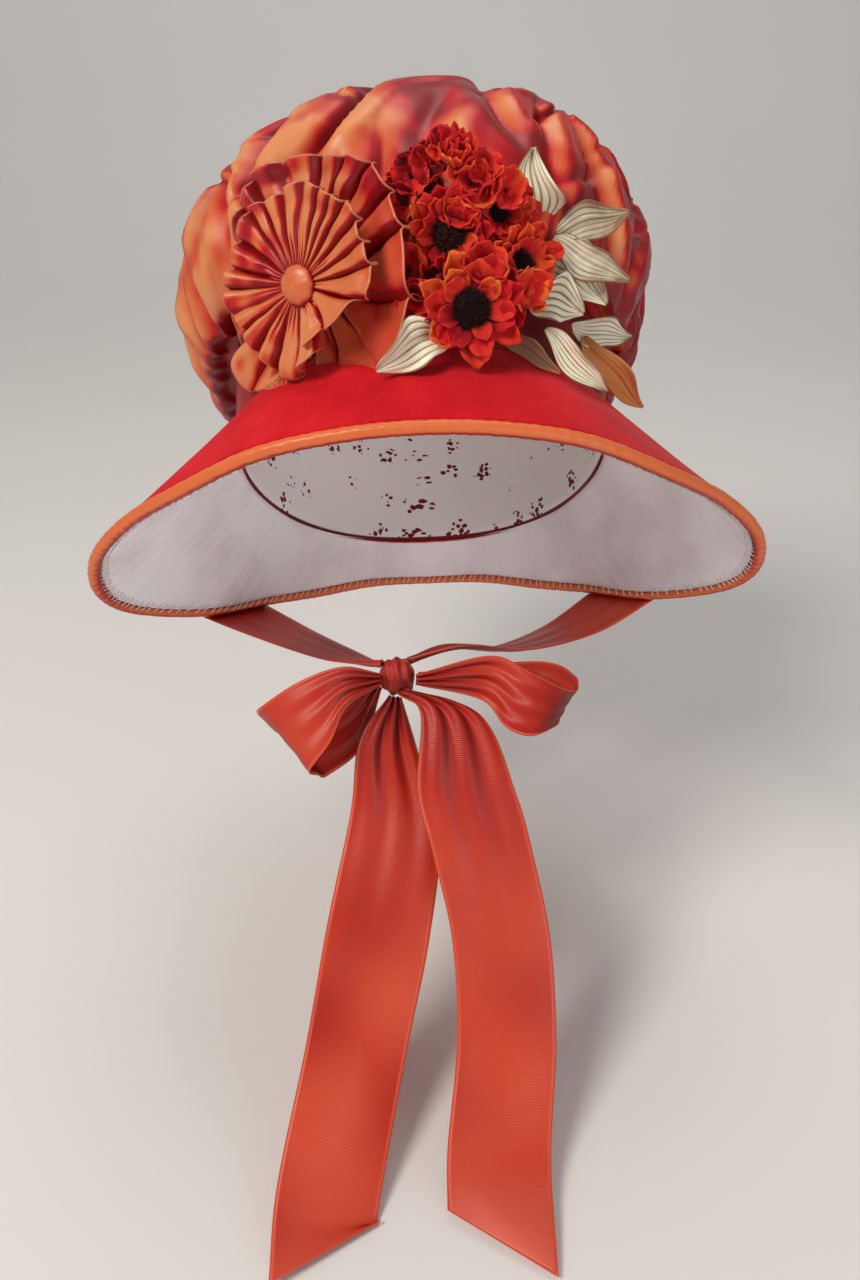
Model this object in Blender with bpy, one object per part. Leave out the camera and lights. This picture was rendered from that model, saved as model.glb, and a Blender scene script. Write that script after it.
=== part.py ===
"""Bonnet with a flared felt brim, a gathered silk crown, a cockade, a spray of
cloth flowers and leaves, and wide ribbon ties knotted in a bow under the chin.

Frame: the origin is the middle of the head opening, where the brim meets the
crown band. +X is the wearer's left, -Y is the way that the wearer faces, and
+Z is up. Sizes and tables are in millimetres; meshes are made in metres.
"""
import math

import bpy
import numpy as np
from mathutils import Matrix, Vector
from mathutils.bvhtree import BVHTree

MM = 0.001

# Head opening and crown band
OPENING_TILT = 50.0         # degrees that the crown's axis leans back from upright
OPENING_HALF_WIDTH = 100.0
OPENING_HALF_LENGTH = 109.0
OPENING_POWER = 0.8         # under 1 squares the oval a little
BAND_HEIGHT = 50.0
BAND_WALL = 2.0
RING_SIDES = 48             # columns round the brim, the lining, the band and the binding

# Cloth and clearances
GAP = 0.35
BRIM_WALL = 2.4
BRIM_LINING_WALL = 1.0
CROWN_WALL = 1.3
CROWN_LINING_WALL = 1.0
SILK_WALL = 1.0
RIBBON_WALL = 1.0
PETAL_WALL = 1.2
LEAF_WALL = 1.0

# Binding of the brim's edge: an oval tube
BINDING_REACH = 3.1         # half its depth, along the brim
BINDING_SWELL = 3.3         # half its thickness, across the brim
BINDING_SIDES = 6

# Outer edge of the binding: angle round the opening from the front; x, y, z
RIM = [
    (0, 0, -144, 74),
    (15, 34, -143, 71.5),
    (30, 70, -138, 62.5),
    (45, 106, -126, 42.5),
    (60, 138, -108, 19.5),
    (75, 160, -93, -6),
    (90, 165.5, -79, -32),
    (105, 155, -60, -54),
    (120, 126, -30, -75),
    (135, 100, 9, -92),
    (150, 70, 42, -106),
    (165, 36, 66, -113),
    (180, 0, 76, -117),
]

# Sections of the puffed crown: height up the axis, half width, half length, shift to the nape,
# shift to the wearer's left
CROWN = [
    (51.3, 98.8, 107.8, 0, 0),
    (51.0, 106, 115, -1, 0),
    (47, 115, 123, -5, -1),
    (57, 121, 128, -10, -2),
    (72, 125, 128, -15, -2),
    (90, 125.5, 123, -20, -1),
    (108, 121, 115, -24, 1),
    (127, 109, 103, -28, 4),
    (143, 91, 88, -29, 8),
    (156, 66, 65, -30, 12),
    (163.5, 34, 35, -31, 14),
]
CROWN_TOP = (167.0, -31, 14)    # height and shifts of the pole
CROWN_SIDES = 72

# Gathers where the puff is drawn into the band
GATHERS = 18
GATHER_DEPTH = 3.2
GATHER_PEAK = 68.0          # height at which they are deepest
GATHER_SPREAD = 34.0

# Larger creases and dents: angle, height, depth, half width in degrees, half height
CREASES = [
    (-27, 62, 4, 26, 40),
    (12, 50, 8, 24, 26),
    (-8, 136, 9, 6, 24),
    (16, 138, 6, 5, 22),
    (40, 112, 6, 6, 36),
    (62, 96, 5, 7, 34),
    (-44, 106, 6, 6, 32),
    (-68, 90, 6, 7, 34),
    (-100, 92, 6, 8, 34),
    (100, 78, 7, 8, 30),
    (135, 92, 6, 8, 34),
    (168, 100, 6, 8, 34),
    (-140, 96, 6, 8, 34),
]

# Sections of the crown lining: height, half width, half length
CROWN_LINING = [
    (1.2, 96.9, 105.9),
    (40, 94.0, 102),
    (70, 84, 91),
    (92, 65, 71),
    (103, 40, 44),
]
CROWN_LINING_TOP = 108.0

# The way in which the trimmings are laid on, from in front and above
LAY_ON = Vector((0.0, 0.97, -0.24)).normalized()

# Cockade: middle of its button and the way it faces
COCKADE_MIDDLE = (-51, -70, 113.6)
COCKADE_FACING = (-0.55, -0.80, 0.22)
BUTTON_RADIUS = 10.0
BUTTON_HEIGHT = 6.0
COCKADE_REST = 1.5          # how high its lower edge lies over the brim
COCKADE_LOW = 12.0          # height over the opening under which it keeps outside the band
COCKADE_CLEAR = 1.06        # how far outside the band it keeps there, as a share of the opening
# name, spokes, columns, inner radius, outer radius, inner lift, outer lift, wave, unevenness
COCKADE_TIERS = [
    ("cockade_outer", 11, 55, 11, 56, -7, -10, 4.4, 0.05),
    ("cockade_inner", 14, 56, 5.5, 38, 0, 2.5, 2.2, 0.06),
]

# Flowers: name, x, y, z, facing x, y, z, petals, radius, cup, fuzzy middle radius (0 for none)
FLOWERS = [
    ("posy", 4, -52, 148, -0.2, -0.9, 0.35, 8, 17, 6, 0),
    ("bud", 19, -52, 159, 0.05, -0.7, 0.7, 6, 13, 12, 0),
    ("daisy_top", 37, -55, 139, 0.35, -0.88, 0.3, 7, 16, 4, 6),
    ("daisy_brown", 15, -62, 131, -0.05, -0.95, 0.3, 8, 19, 5, 8),
    ("trumpet", 15.7, -72, 117, 0.0, -0.95, 0.35, 5, 9, 9, 0),
    ("daisy_side", 46, -72, 119, 0.5, -0.85, 0.2, 8, 18, 4, 8),
    ("daisy_front", 23, -88, 106, 0.1, -0.95, 0.25, 7, 22, 4, 9),
]

# Leaves: name; base x, y, z; tip x, y, z; half width; arch out of their plane; twist in degrees
LEAVES = [
    ("tall", 58, -58, 130, 50, -62, 168, 12, 7, 20),
    ("tall_small", 42, -58, 137, 34, -62, 156, 6, 3, -15),
    ("upper", 62, -50, 127, 98, -44, 133, 9, 4, 10),
    ("side", 58, -62, 127, 89, -64, 101, 12, 5, -12),
    ("side_brown", 62, -52, 124, 97, -50, 104, 9, 4, 15),
    ("low", 52, -72, 108, 76, -66, 98, 12, 4, -10),
    ("left", 12, -92, 99, -20, -105, 86, 10.5, 4, 20),
    ("thin_brown", 37, -88, 95, 63, -98, 77, 4.5, 4, 10),
    ("drooping", 56, -80, 92, 84, -84, 64, 7, 6, -10),
    ("short", 74, -64, 88, 103, -56, 78, 8, 4, 12),
    ("orange", 80, -62, 82, 108, -62, 45, 8, 6, -14),
]

# Knot: middle and half sizes
KNOT_MIDDLE = (-17, -97, -75)
KNOT_HALF = (10, 9, 10.5)

# Where each tie crosses the brim: angle round the opening at its front and back edge
TIE_ANGLES = (122, 138)
TIE_START = 0.12            # share of the way from the opening to the rim

# Each table: edge a at x, y, z, then edge b at x, y, z; the ends at the knot are left out
TIE_LEFT = [
    (-97, -50, -76, -66, -12, -99),
    (-61, -75, -75, -38, -42, -96),
    (-40, -88, -71, -25, -72, -84),
]
TIE_RIGHT = [
    (96, -28, -96, 68, 6, -112),
    (54, -66, -82, 34, -34, -100),
    (18, -82, -68, 5, -66, -78),
]
LOOP_LEFT = [
    (-44, -103, -64, -42, -116, -79),
    (-65, -105, -70, -51, -126, -93),
    (-85, -103, -85, -62, -130, -107),
    (-90, -96, -94, -59, -121, -117),
    (-86, -88, -102, -55, -110, -126),
    (-53, -88, -94, -37, -104, -113),
]
LOOP_RIGHT = [
    (30, -92, -68, 25, -99, -90),
    (50, -96, -76, 36, -116, -95),
    (67, -94, -88, 47, -125, -94),
    (76, -84, -96, 57, -118, -97),
    (76, -74, -94, 63, -104, -100),
    (56, -76, -83, 45, -94, -93),
]
TAIL_LEFT = [
    (-38, -110, -105, -9, -108, -112),
    (-44, -128, -137, 1, -133, -147),
    (-57, -165, -177, -6, -168, -187),
    (-70, -197, -228, -21, -201, -240),
    (-83, -250, -262, -35, -256, -274),
    (-84, -291, -272, -34, -262, -274.5),
]
TAIL_RIGHT = [
    (-6, -116, -84, 24, -112, -90),
    (-9, -138, -115, 40, -138, -121),
    (-3, -156, -139, 47, -156, -146),
    (5, -176, -178, 54, -178, -183),
    (6, -200, -222, 55, -203, -226),
    (-1, -238, -256, 49, -242, -262),
    (-2, -260, -271, 47, -291, -275),
]
RIBBON_COLUMNS = 4

# Colours: red, green, blue, roughness
RED_FELT = (0.74, 0.015, 0.025, 0.9)
BINDING_SILK = (0.72, 0.22, 0.06, 0.4)
WHITE_COTTON = (0.75, 0.71, 0.72, 0.85)
BAND_SILK = (0.22, 0.01, 0.015, 0.5)
SHOT_SILK = (0.62, 0.12, 0.03, 0.35)
RIBBON_SATIN = (0.65, 0.06, 0.02, 0.35)
PRINT_COTTON = (0.70, 0.62, 0.60, 0.85)
PETAL_RED = (0.60, 0.02, 0.02, 0.8)
FUZZ_BROWN = (0.03, 0.012, 0.015, 0.95)
LEAF_CREAM = (0.75, 0.70, 0.48, 0.7)

LONG_AXIS = np.array([0.0, math.cos(math.radians(OPENING_TILT)), -math.sin(math.radians(OPENING_TILT))])
UP_AXIS = np.array([0.0, math.sin(math.radians(OPENING_TILT)), math.cos(math.radians(OPENING_TILT))])
SIDE_AXIS = np.array([1.0, 0.0, 0.0])


def clear_scene():
    """Empties the file of the objects that Blender opens with."""
    for thing in list(bpy.data.objects):
        bpy.data.objects.remove(thing, do_unlink=True)


def finish(name, colour):
    """Makes a plain Principled material of one colour and roughness."""
    material = bpy.data.materials.new(name)
    material.use_nodes = True
    shader = material.node_tree.nodes["Principled BSDF"]
    shader.inputs["Base Color"].default_value = (*colour[:3], 1.0)
    shader.inputs["Roughness"].default_value = colour[3]
    material.diffuse_color = (*colour[:3], 1.0)
    return material


def unit(vectors):
    """Scales each vector of an array to length one."""
    return vectors / np.linalg.norm(vectors, axis=-1, keepdims=True)


def smooth_rows(rows, count, ring=False):
    """Reads `count` rows off the Catmull-Rom curve through the given rows."""
    rows = np.asarray(rows, dtype=float)
    spans = len(rows) if ring else len(rows) - 1
    steps = np.arange(count) * spans / (count if ring else count - 1)
    start = np.minimum(np.floor(steps).astype(int), spans - 1)
    t = (steps - start).reshape([-1] + [1] * (rows.ndim - 1))

    def row(offset):
        place = start + offset
        if ring:
            return rows[place % len(rows)]
        before = 2 * rows[0] - rows[1]
        after = 2 * rows[-1] - rows[-2]
        return np.concatenate([[before], rows, [after]])[place + 1]

    a, b, c, d = row(-1), row(0), row(1), row(2)
    return 0.5 * (2 * b + (c - a) * t + (2 * a - 5 * b + 4 * c - d) * t**2 + (3 * b - a - 3 * c + d) * t**3)


def grid_faces(rows, columns, ring):
    """Lists the quads of a grid whose columns may close into a ring."""
    faces = []
    for i in range(rows - 1):
        for j in range(columns if ring else columns - 1):
            k = (j + 1) % columns
            faces.append((i * columns + j, i * columns + k, (i + 1) * columns + k, (i + 1) * columns + j))
    return faces


def add_object(name, points, faces, material):
    """Makes a smooth-shaded mesh object from points in millimetres."""
    mesh = bpy.data.meshes.new(name)
    mesh.from_pydata([tuple(p) for p in np.asarray(points) * MM], [], faces)
    mesh.materials.append(material)
    mesh.shade_smooth()
    piece = bpy.data.objects.new(name, mesh)
    bpy.context.scene.collection.objects.link(piece)
    return piece


def cloth(name, grid, wall, material, ring=False, pole=None):
    """Makes a sheet from a grid of points and thickens it to a closed wall.

    A pole closes the last row to a point with a fan of triangles.
    """
    rows, columns = grid.shape[:2]
    points = grid.reshape(-1, 3)
    faces = grid_faces(rows, columns, ring)
    if pole is not None:
        points = np.vstack([points, pole])
        last = (rows - 1) * columns
        faces += [(last + j, last + (j + 1) % columns, len(points) - 1) for j in range(columns)]
    piece = add_object(name, points, faces, material)
    solidify = piece.modifiers.new("wall", "SOLIDIFY")
    solidify.thickness = wall * MM
    solidify.offset = 0.0
    solidify.use_quality_normals = True
    return piece


def oval(angle, half_width, half_length, height, shift=0.0, middle=0.0, power=OPENING_POWER):
    """Points of an oval across the crown's axis; angle 0 is the front, half width is along X."""
    across = np.sign(np.sin(angle)) * np.abs(np.sin(angle)) ** power
    along = shift - half_length * np.cos(angle)
    return ((middle + half_width * across)[..., None] * SIDE_AXIS
            + along[..., None] * LONG_AXIS
            + np.broadcast_to(height, np.shape(along))[..., None] * UP_AXIS)


def ring_angles(count):
    """Angles of the columns round the opening, in radians."""
    return np.arange(count) * 2 * math.pi / count


def opening(angle, height=0.0, inset=0.0):
    """The edge of the head opening, raised along the axis and inset in its own plane."""
    edge = oval(angle, OPENING_HALF_WIDTH, OPENING_HALF_LENGTH, 0.0)
    ahead = oval(angle + 0.01, OPENING_HALF_WIDTH, OPENING_HALF_LENGTH, 0.0)
    behind = oval(angle - 0.01, OPENING_HALF_WIDTH, OPENING_HALF_LENGTH, 0.0)
    inward = unit(np.cross(ahead - behind, UP_AXIS))
    inward *= -np.sign(np.sum(inward * edge, axis=-1, keepdims=True))
    return edge + inset * inward + height * UP_AXIS


def rim(angle):
    """The outer edge of the binding, read off the rim table on both sides."""
    half = [row[1:] for row in RIM]
    other = [(-x, y, z) for x, y, z in half[-2:0:-1]]
    table = np.array(half + other)
    dense = smooth_rows(table, 720, ring=True)
    turn = (np.degrees(angle) % 360) * 2
    low = np.floor(turn).astype(int)
    part = (turn - low)[..., None]
    return dense[low % 720] * (1 - part) + dense[(low + 1) % 720] * part


def brim_frame(angle):
    """Opening edge, rim, the way down the brim, and the way out of its face, at each angle."""
    start = opening(angle)
    end = rim(angle)
    down = unit(end - start)
    along = unit(rim(angle + 0.02) - rim(angle - 0.02))
    out = unit(np.cross(along, down))
    out *= np.sign(np.sum(out * start, axis=-1, keepdims=True))
    return start, end, down, out


def brim_sheet(angle, shares, lift):
    """Rows down the brim, ruled from the opening to short of the binding, lifted off its face."""
    start, end, down, out = brim_frame(angle)
    edge = end - (2 * BINDING_REACH + GAP) * down
    rows = [start + (edge - start) * t + out * lift for t in shares]
    return np.stack(rows)


def make_brim(felt, cotton, silk):
    """The felt brim, its lining and the piped binding round both edges."""
    angle = ring_angles(RING_SIDES)
    shares = np.linspace(0.0, 1.0, 3)
    cloth("brim", brim_sheet(angle, shares, 0.0), BRIM_WALL, felt, ring=True)
    lining_lift = -(BRIM_WALL + BRIM_LINING_WALL) / 2 - 1.4 * GAP
    cloth("brim_lining", brim_sheet(angle, shares, lining_lift), BRIM_LINING_WALL, cotton, ring=True)

    _, end, down, out = brim_frame(angle)
    middle = end - BINDING_REACH * down + out * (BRIM_WALL / 2 + lining_lift - BRIM_LINING_WALL / 2) / 2
    turn = ring_angles(BINDING_SIDES) + math.pi / BINDING_SIDES
    section = (np.cos(turn)[:, None, None] * down * BINDING_REACH
               + np.sin(turn)[:, None, None] * out * BINDING_SWELL)
    points = (middle + section).reshape(-1, 3)
    faces = grid_faces(BINDING_SIDES, RING_SIDES, True)
    last = (BINDING_SIDES - 1) * RING_SIDES
    for j in range(RING_SIDES):
        k = (j + 1) % RING_SIDES
        faces.append((last + j, last + k, k, j))
    add_object("brim_binding", points, faces, silk)


def make_band(silk):
    """The upright side band between the brim and the puffed crown."""
    angle = ring_angles(RING_SIDES)
    inset = GAP / 2 + BAND_WALL / 2
    rows = [opening(angle, height, inset) for height in (GAP, BAND_HEIGHT)]
    return cloth("crown_band", np.stack(rows), BAND_WALL, silk, ring=True)


def crown_sheet(angle):
    """Rows of the puffed crown with its gathers and creases, and its pole."""
    rows = [opening(angle, row[0], BAND_WALL / 2 + CROWN[0][1] - row[1]) for row in CROWN[:2]]
    for height, half_width, half_length, shift, lean in CROWN[2:]:
        rows.append(oval(angle, half_width, half_length, height, shift, lean, 0.9))
    sheet = np.stack(rows)
    height = np.array([row[0] for row in CROWN])[:, None]
    shift = np.array([row[3] for row in CROWN])[:, None, None]
    lean = np.array([row[4] for row in CROWN])[:, None, None]
    middle = shift * LONG_AXIS + lean * SIDE_AXIS + height[..., None] * UP_AXIS
    outward = unit(sheet - middle)
    puffed = np.array([0.0, 0.3] + [1.0] * (len(CROWN) - 2))[:, None]
    degrees = np.degrees(angle)
    wave = np.cos(GATHERS * angle + 0.7 * np.sin(3 * angle) + 0.5 * np.sin(5 * angle + 1.0))
    fade = np.exp(-((height - GATHER_PEAK) / GATHER_SPREAD) ** 2)
    change = GATHER_DEPTH * wave * fade
    for place, crease_height, depth, half_angle, half_height in CREASES:
        away = (degrees - place + 180) % 360 - 180
        change = change - depth * np.exp(-(away / half_angle) ** 2 - ((height - crease_height) / half_height) ** 2)
    sheet = sheet + (change * puffed)[..., None] * outward
    pole = CROWN_TOP[0] * UP_AXIS + CROWN_TOP[1] * LONG_AXIS + CROWN_TOP[2] * SIDE_AXIS
    return sheet, pole


def make_crown(silk, cotton):
    """The gathered silk puff and the plain cotton lining inside it."""
    sheet, pole = crown_sheet(ring_angles(CROWN_SIDES))
    cloth("crown", sheet, CROWN_WALL, silk, ring=True, pole=pole)

    angle = ring_angles(RING_SIDES)
    rows = [oval(angle, width, length, height) for height, width, length in CROWN_LINING]
    top = CROWN_LINING_TOP * UP_AXIS
    cloth("crown_lining", np.stack(rows), CROWN_LINING_WALL, cotton, ring=True, pole=top)


def world_shape(piece):
    """Points and triangles of a piece as finished by its modifiers, in metres."""
    graph = bpy.context.evaluated_depsgraph_get()
    finished = piece.evaluated_get(graph)
    mesh = finished.to_mesh()
    mesh.calc_loop_triangles()
    points = np.empty(len(mesh.vertices) * 3)
    mesh.vertices.foreach_get("co", points)
    faces = [tuple(face.vertices) for face in mesh.loop_triangles]
    finished.to_mesh_clear()
    turn = np.array(piece.matrix_world)
    return points.reshape(-1, 3) @ turn[:3, :3].T + turn[:3, 3], faces


def tree_of(points, faces):
    """A search tree for nearest points and crossings."""
    return BVHTree.FromPolygons([Vector(p) for p in points], faces)


def along_edges(points, faces):
    """Points at the corners and at the quarters of each edge, to measure clearance by."""
    pairs = {tuple(sorted(pair)) for face in faces for pair in zip(face, face[1:] + face[:1])}
    ends = np.array(sorted(pairs))
    start = points[ends[:, 0]]
    run = points[ends[:, 1]] - start
    return np.concatenate([points] + [start + run * share for share in (0.25, 0.5, 0.75)])


def lay_on(piece, carriers, direction=LAY_ON, reach=0.06):
    """Moves a piece in or out along a direction, from its own place, until it lies GAP from its carriers."""
    bpy.context.view_layer.update()
    points, faces = world_shape(piece)
    own = tree_of(points, faces)
    marks = along_edges(points, faces)
    still_points = []
    still_faces = []
    for carrier in carriers:
        carrier_points, carrier_faces = world_shape(carrier)
        shift = sum(len(p) for p in still_points)
        still_points.append(carrier_points)
        still_faces += [tuple(v + shift for v in face) for face in carrier_faces]
    still_points = np.concatenate(still_points)
    still = tree_of(still_points, still_faces)
    way = np.array(direction)
    swept = np.concatenate([points - reach * way, points + reach * way])
    still_marks = along_edges(still_points, still_faces)
    near = np.all((still_marks > swept.min(0) - 0.002) & (still_marks < swept.max(0) + 0.002), axis=1)
    still_marks = still_marks[near]

    def too_close(distance):
        limit = GAP * MM
        moved = points + distance * way
        if any(still.find_nearest(Vector(p), limit)[0] is not None for p in marks + distance * way):
            return True
        if any(own.find_nearest(Vector(p), limit)[0] is not None for p in still_marks - distance * way):
            return True
        return bool(tree_of(moved, faces).overlap(still))

    distance = 0.0
    step = 0.001
    while distance > -reach and too_close(distance):
        distance -= step
    while distance < reach and not too_close(distance + step):
        distance += step
    for _ in range(6):
        step /= 2
        if not too_close(distance + step):
            distance += step
    piece.location = piece.location + Vector(way) * distance
    bpy.context.view_layer.update()
    return piece


def facing_matrix(place, facing, upward=(0, 0, 1), spin=0.0):
    """A place whose local Z is the facing and whose local Y leans upward."""
    z = Vector(facing).normalized()
    x = Vector(upward).cross(z).normalized()
    y = z.cross(x)
    turn = Matrix((x, y, z)).transposed().to_4x4()
    return Matrix.Translation(Vector(place) * MM) @ turn @ Matrix.Rotation(spin, 4, "Z")


def rest_on_brim(points):
    """Moves low points out to clear the band, then up to clear the top of the brim."""
    rested = points.reshape(-1, 3).copy()
    x = rested[:, 0] / MM
    along = rested @ LONG_AXIS / MM
    height = rested @ UP_AXIS / MM
    size = (np.abs(x) / OPENING_HALF_WIDTH) ** (2 / OPENING_POWER) + (along / OPENING_HALF_LENGTH) ** 2
    grow = np.where((height < COCKADE_LOW) & (size < COCKADE_CLEAR ** 2), COCKADE_CLEAR / np.sqrt(size), 1.0)
    rested += ((x * (grow - 1))[:, None] * SIDE_AXIS + (along * (grow - 1))[:, None] * LONG_AXIS) * MM
    tree = tree_of(*world_shape(bpy.data.objects["brim"]))
    for row in rested:
        hit = tree.ray_cast(Vector((row[0], row[1], 1.0)), Vector((0, 0, -1)))[0]
        if hit is not None:
            row[2] = max(row[2], hit.z + COCKADE_REST * MM)
    return rested.reshape(points.shape)


def make_cockade_tier(tier, place, silk):
    """One ruched ring of the cockade: radial pleats that deepen towards its edge."""
    name, spokes, columns, inner, outer, inner_lift, outer_lift, wave, uneven = tier
    angle = ring_angles(columns)
    pleat = np.sin(spokes * angle + 0.8 * np.sin(2 * angle))
    rows = []
    for share in (0.0, 0.45, 1.0):
        radius = inner + (outer - inner) * share * (1 + uneven * np.sin(5 * angle + 1.0))
        lift = inner_lift + (outer_lift - inner_lift) * share + wave * pleat * (0.08 + 0.92 * share)
        rows.append(np.stack([radius * np.cos(angle), radius * np.sin(angle), lift], axis=1))
    turn = np.array(place)
    grid = np.stack(rows) * MM @ turn[:3, :3].T + turn[:3, 3]
    grid = (rest_on_brim(grid) - turn[:3, 3]) @ turn[:3, :3] / MM
    piece = cloth(name, grid, SILK_WALL, silk, ring=True)
    piece.matrix_world = place
    return piece


def dome(name, radius, height, columns, material):
    """A flat-bottomed dome on the plane z = 0, as an oval lathe shape."""
    angle = ring_angles(columns)
    rows = []
    for share in (0.0, 0.45, 0.8):
        ring = math.cos(share * math.pi / 2)
        rise = np.full(columns, height * math.sin(share * math.pi / 2))
        rows.append(np.stack([radius * ring * np.cos(angle), radius * ring * np.sin(angle), rise], axis=1))
    points = np.vstack([np.concatenate(rows), [0, 0, height]])
    faces = grid_faces(3, columns, True)
    last = 2 * columns
    faces += [(last + j, last + (j + 1) % columns, 3 * columns) for j in range(columns)]
    faces.append(tuple(range(columns - 1, -1, -1)))
    return add_object(name, points, faces, material)


def make_cockade(carriers, silk):
    """Two pleated tiers and a covered button, laid on the front of the crown."""
    made = []
    place = facing_matrix(COCKADE_MIDDLE, COCKADE_FACING)
    for tier in COCKADE_TIERS:
        piece = make_cockade_tier(tier, place, silk)
        lay_on(piece, carriers + made)
        made.append(piece)
    button = dome("cockade_button", BUTTON_RADIUS, BUTTON_HEIGHT, 14, silk)
    button.matrix_world = place
    lay_on(button, carriers + made)
    return made + [button]


def make_flower(row, petal, fuzz, carriers):
    """A lobed, cupped rosette of petals, with a fuzzy middle where it has one."""
    name, x, y, z, face_x, face_y, face_z, petals, radius, cup, middle = row
    columns = petals * 4
    angle = ring_angles(columns)
    lobe = 0.68 + 0.32 * np.abs(np.cos(petals * angle / 2)) ** 0.7
    hub = max(0.34 * radius, middle + 0.5)
    rows = []
    for share in (1.0, 0.0):
        reach = hub + (radius * lobe - hub) * share
        lift = cup * share ** 1.5 * (1 + 0.18 * np.sin(3 * angle)) * np.ones(columns)
        rows.append(np.stack([reach * np.cos(angle), reach * np.sin(angle), lift], axis=1))
    piece = cloth("flower_" + name, np.stack(rows), PETAL_WALL, petal, ring=True, pole=(0, 0, 0))
    place = facing_matrix((x, y, z), (face_x, face_y, face_z), spin=0.3 * petals)
    piece.matrix_world = place
    lay_on(piece, carriers)
    made = [piece]
    if middle:
        heart = dome("flower_" + name + "_middle", middle, middle * 0.62, 12, fuzz)
        shift = Matrix.Translation((0, 0, (PETAL_WALL / 2 + GAP) * MM))
        heart.matrix_world = piece.matrix_world @ shift
        made.append(heart)
    return made


def make_leaf(row, green, carriers):
    """A pointed leaf, arched along its length and folded a little on its rib."""
    name, bx, by, bz, tx, ty, tz, half_width, arch, twist = row
    base = np.array([bx, by, bz], dtype=float)
    tip = np.array([tx, ty, tz], dtype=float)
    along = unit(tip - base)
    toward = -np.array(LAY_ON)
    side = unit(np.cross(along, toward))
    lift = unit(np.cross(side, along))
    rows = []
    for share in np.linspace(0.0, 1.0, 6):
        width = half_width * (0.12 + 0.88 * math.sin(math.pi * (0.06 + 0.88 * share ** 0.85)))
        turn = math.radians(twist) * (share - 0.2)
        across = side * math.cos(turn) + lift * math.sin(turn)
        spine = base + (tip - base) * share + lift * arch * math.sin(math.pi * share)
        rib = lift * (-0.22 * width)
        rows.append([spine - across * width, spine + rib, spine + across * width])
    piece = cloth("leaf_" + name, np.array(rows), LEAF_WALL, green)
    return lay_on(piece, carriers)


def knot_row(toward_a, toward_b, clear):
    """A row of ribbon ending on the knot: it follows the knot's oval from one way to another."""
    share = np.linspace(0.0, 1.0, RIBBON_COLUMNS)[:, None]
    way = unit(np.asarray(toward_a, dtype=float) * (1 - share) + np.asarray(toward_b, dtype=float) * share)
    half = np.array(KNOT_HALF, dtype=float) + clear
    return np.array(KNOT_MIDDLE, dtype=float) + way / np.linalg.norm(way / half, axis=1, keepdims=True)


def ruled(table):
    """Rows of points straight across a ribbon, from its two edges."""
    share = np.linspace(0.0, 1.0, RIBBON_COLUMNS)[:, None]
    return [np.array(row[:3], dtype=float) * (1 - share) + np.array(row[3:], dtype=float) * share for row in table]


def ribbon(name, rows, count, satin):
    """A ribbon through rows of points, read off a smooth curve along its length."""
    return cloth(name, smooth_rows(np.array(rows), count), RIBBON_WALL, satin)


def tie_on_brim(side):
    """The tie's rows down the outside of the brim and round under the binding."""
    front, back = (math.radians(side * turn) for turn in TIE_ANGLES)
    angle = np.linspace(front, back, RIBBON_COLUMNS)
    clear = BRIM_WALL / 2 + 2 * GAP + RIBBON_WALL / 2
    shares = np.array([TIE_START, 0.5, 0.85])
    rows = list(brim_sheet(angle, shares, clear))
    _, end, down, out = brim_frame(angle)
    middle = end - BINDING_REACH * down
    radius = BINDING_SWELL + 3 * GAP + RIBBON_WALL
    for turn in (20, 55, 90):
        across = math.radians(turn)
        rows.append(middle + radius * (math.cos(across) * out + math.sin(across) * down))
    return rows


def make_ribbons(satin):
    """The knot, both ties, both loops of the bow and both tails."""
    knot = dome_pair("bow_knot", KNOT_HALF, satin)
    knot.location = Vector(KNOT_MIDDLE) * MM
    clear = RIBBON_WALL / 2 + GAP / 2
    ribbon("tie_left", tie_on_brim(-1) + ruled(TIE_LEFT)
           + [knot_row((-0.75, 0.1, 0.6), (-0.6, 0.8, 0.3), clear)], 19, satin)
    ribbon("tie_right", tie_on_brim(1) + ruled(TIE_RIGHT)
           + [knot_row((0.6, 0.55, 0.6), (0.4, 0.9, 0.15), clear)], 19, satin)
    ribbon("bow_loop_left", [knot_row((-0.85, -0.45, 0.5), (-0.85, -0.65, 0.0), clear)] + ruled(LOOP_LEFT)
           + [knot_row((-0.9, 0.2, -0.2), (-0.75, -0.1, -0.55), clear)], 15, satin)
    ribbon("bow_loop_right", [knot_row((0.85, -0.35, 0.3), (0.85, -0.45, -0.2), clear)] + ruled(LOOP_RIGHT)
           + [knot_row((0.9, 0.15, 0.05), (0.85, 0.0, -0.4), clear)], 15, satin)
    ribbon("tail_left", [knot_row((-0.45, -0.3, -0.9), (0.1, -0.3, -0.9), clear)] + ruled(TAIL_LEFT), 13, satin)
    ribbon("tail_right", [knot_row((-0.1, -0.95, -0.35), (0.4, -0.9, -0.15), clear)] + ruled(TAIL_RIGHT), 14, satin)


def dome_pair(name, half, material):
    """A closed oval body from rings between two poles."""
    columns = 12
    angle = ring_angles(columns)
    rows = []
    for share in (0.2, 0.4, 0.6, 0.8):
        ring = math.sin(share * math.pi)
        rise = np.full(columns, -half[2] * math.cos(share * math.pi))
        rows.append(np.stack([half[0] * ring * np.cos(angle), half[1] * ring * np.sin(angle), rise], axis=1))
    points = np.vstack([np.concatenate(rows), [0, 0, -half[2]], [0, 0, half[2]]])
    faces = grid_faces(4, columns, True)
    low, high = 4 * columns, 4 * columns + 1
    for j in range(columns):
        k = (j + 1) % columns
        faces.append((k, j, low))
        faces.append((3 * columns + j, 3 * columns + k, high))
    return add_object(name, points, faces, material)


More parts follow.
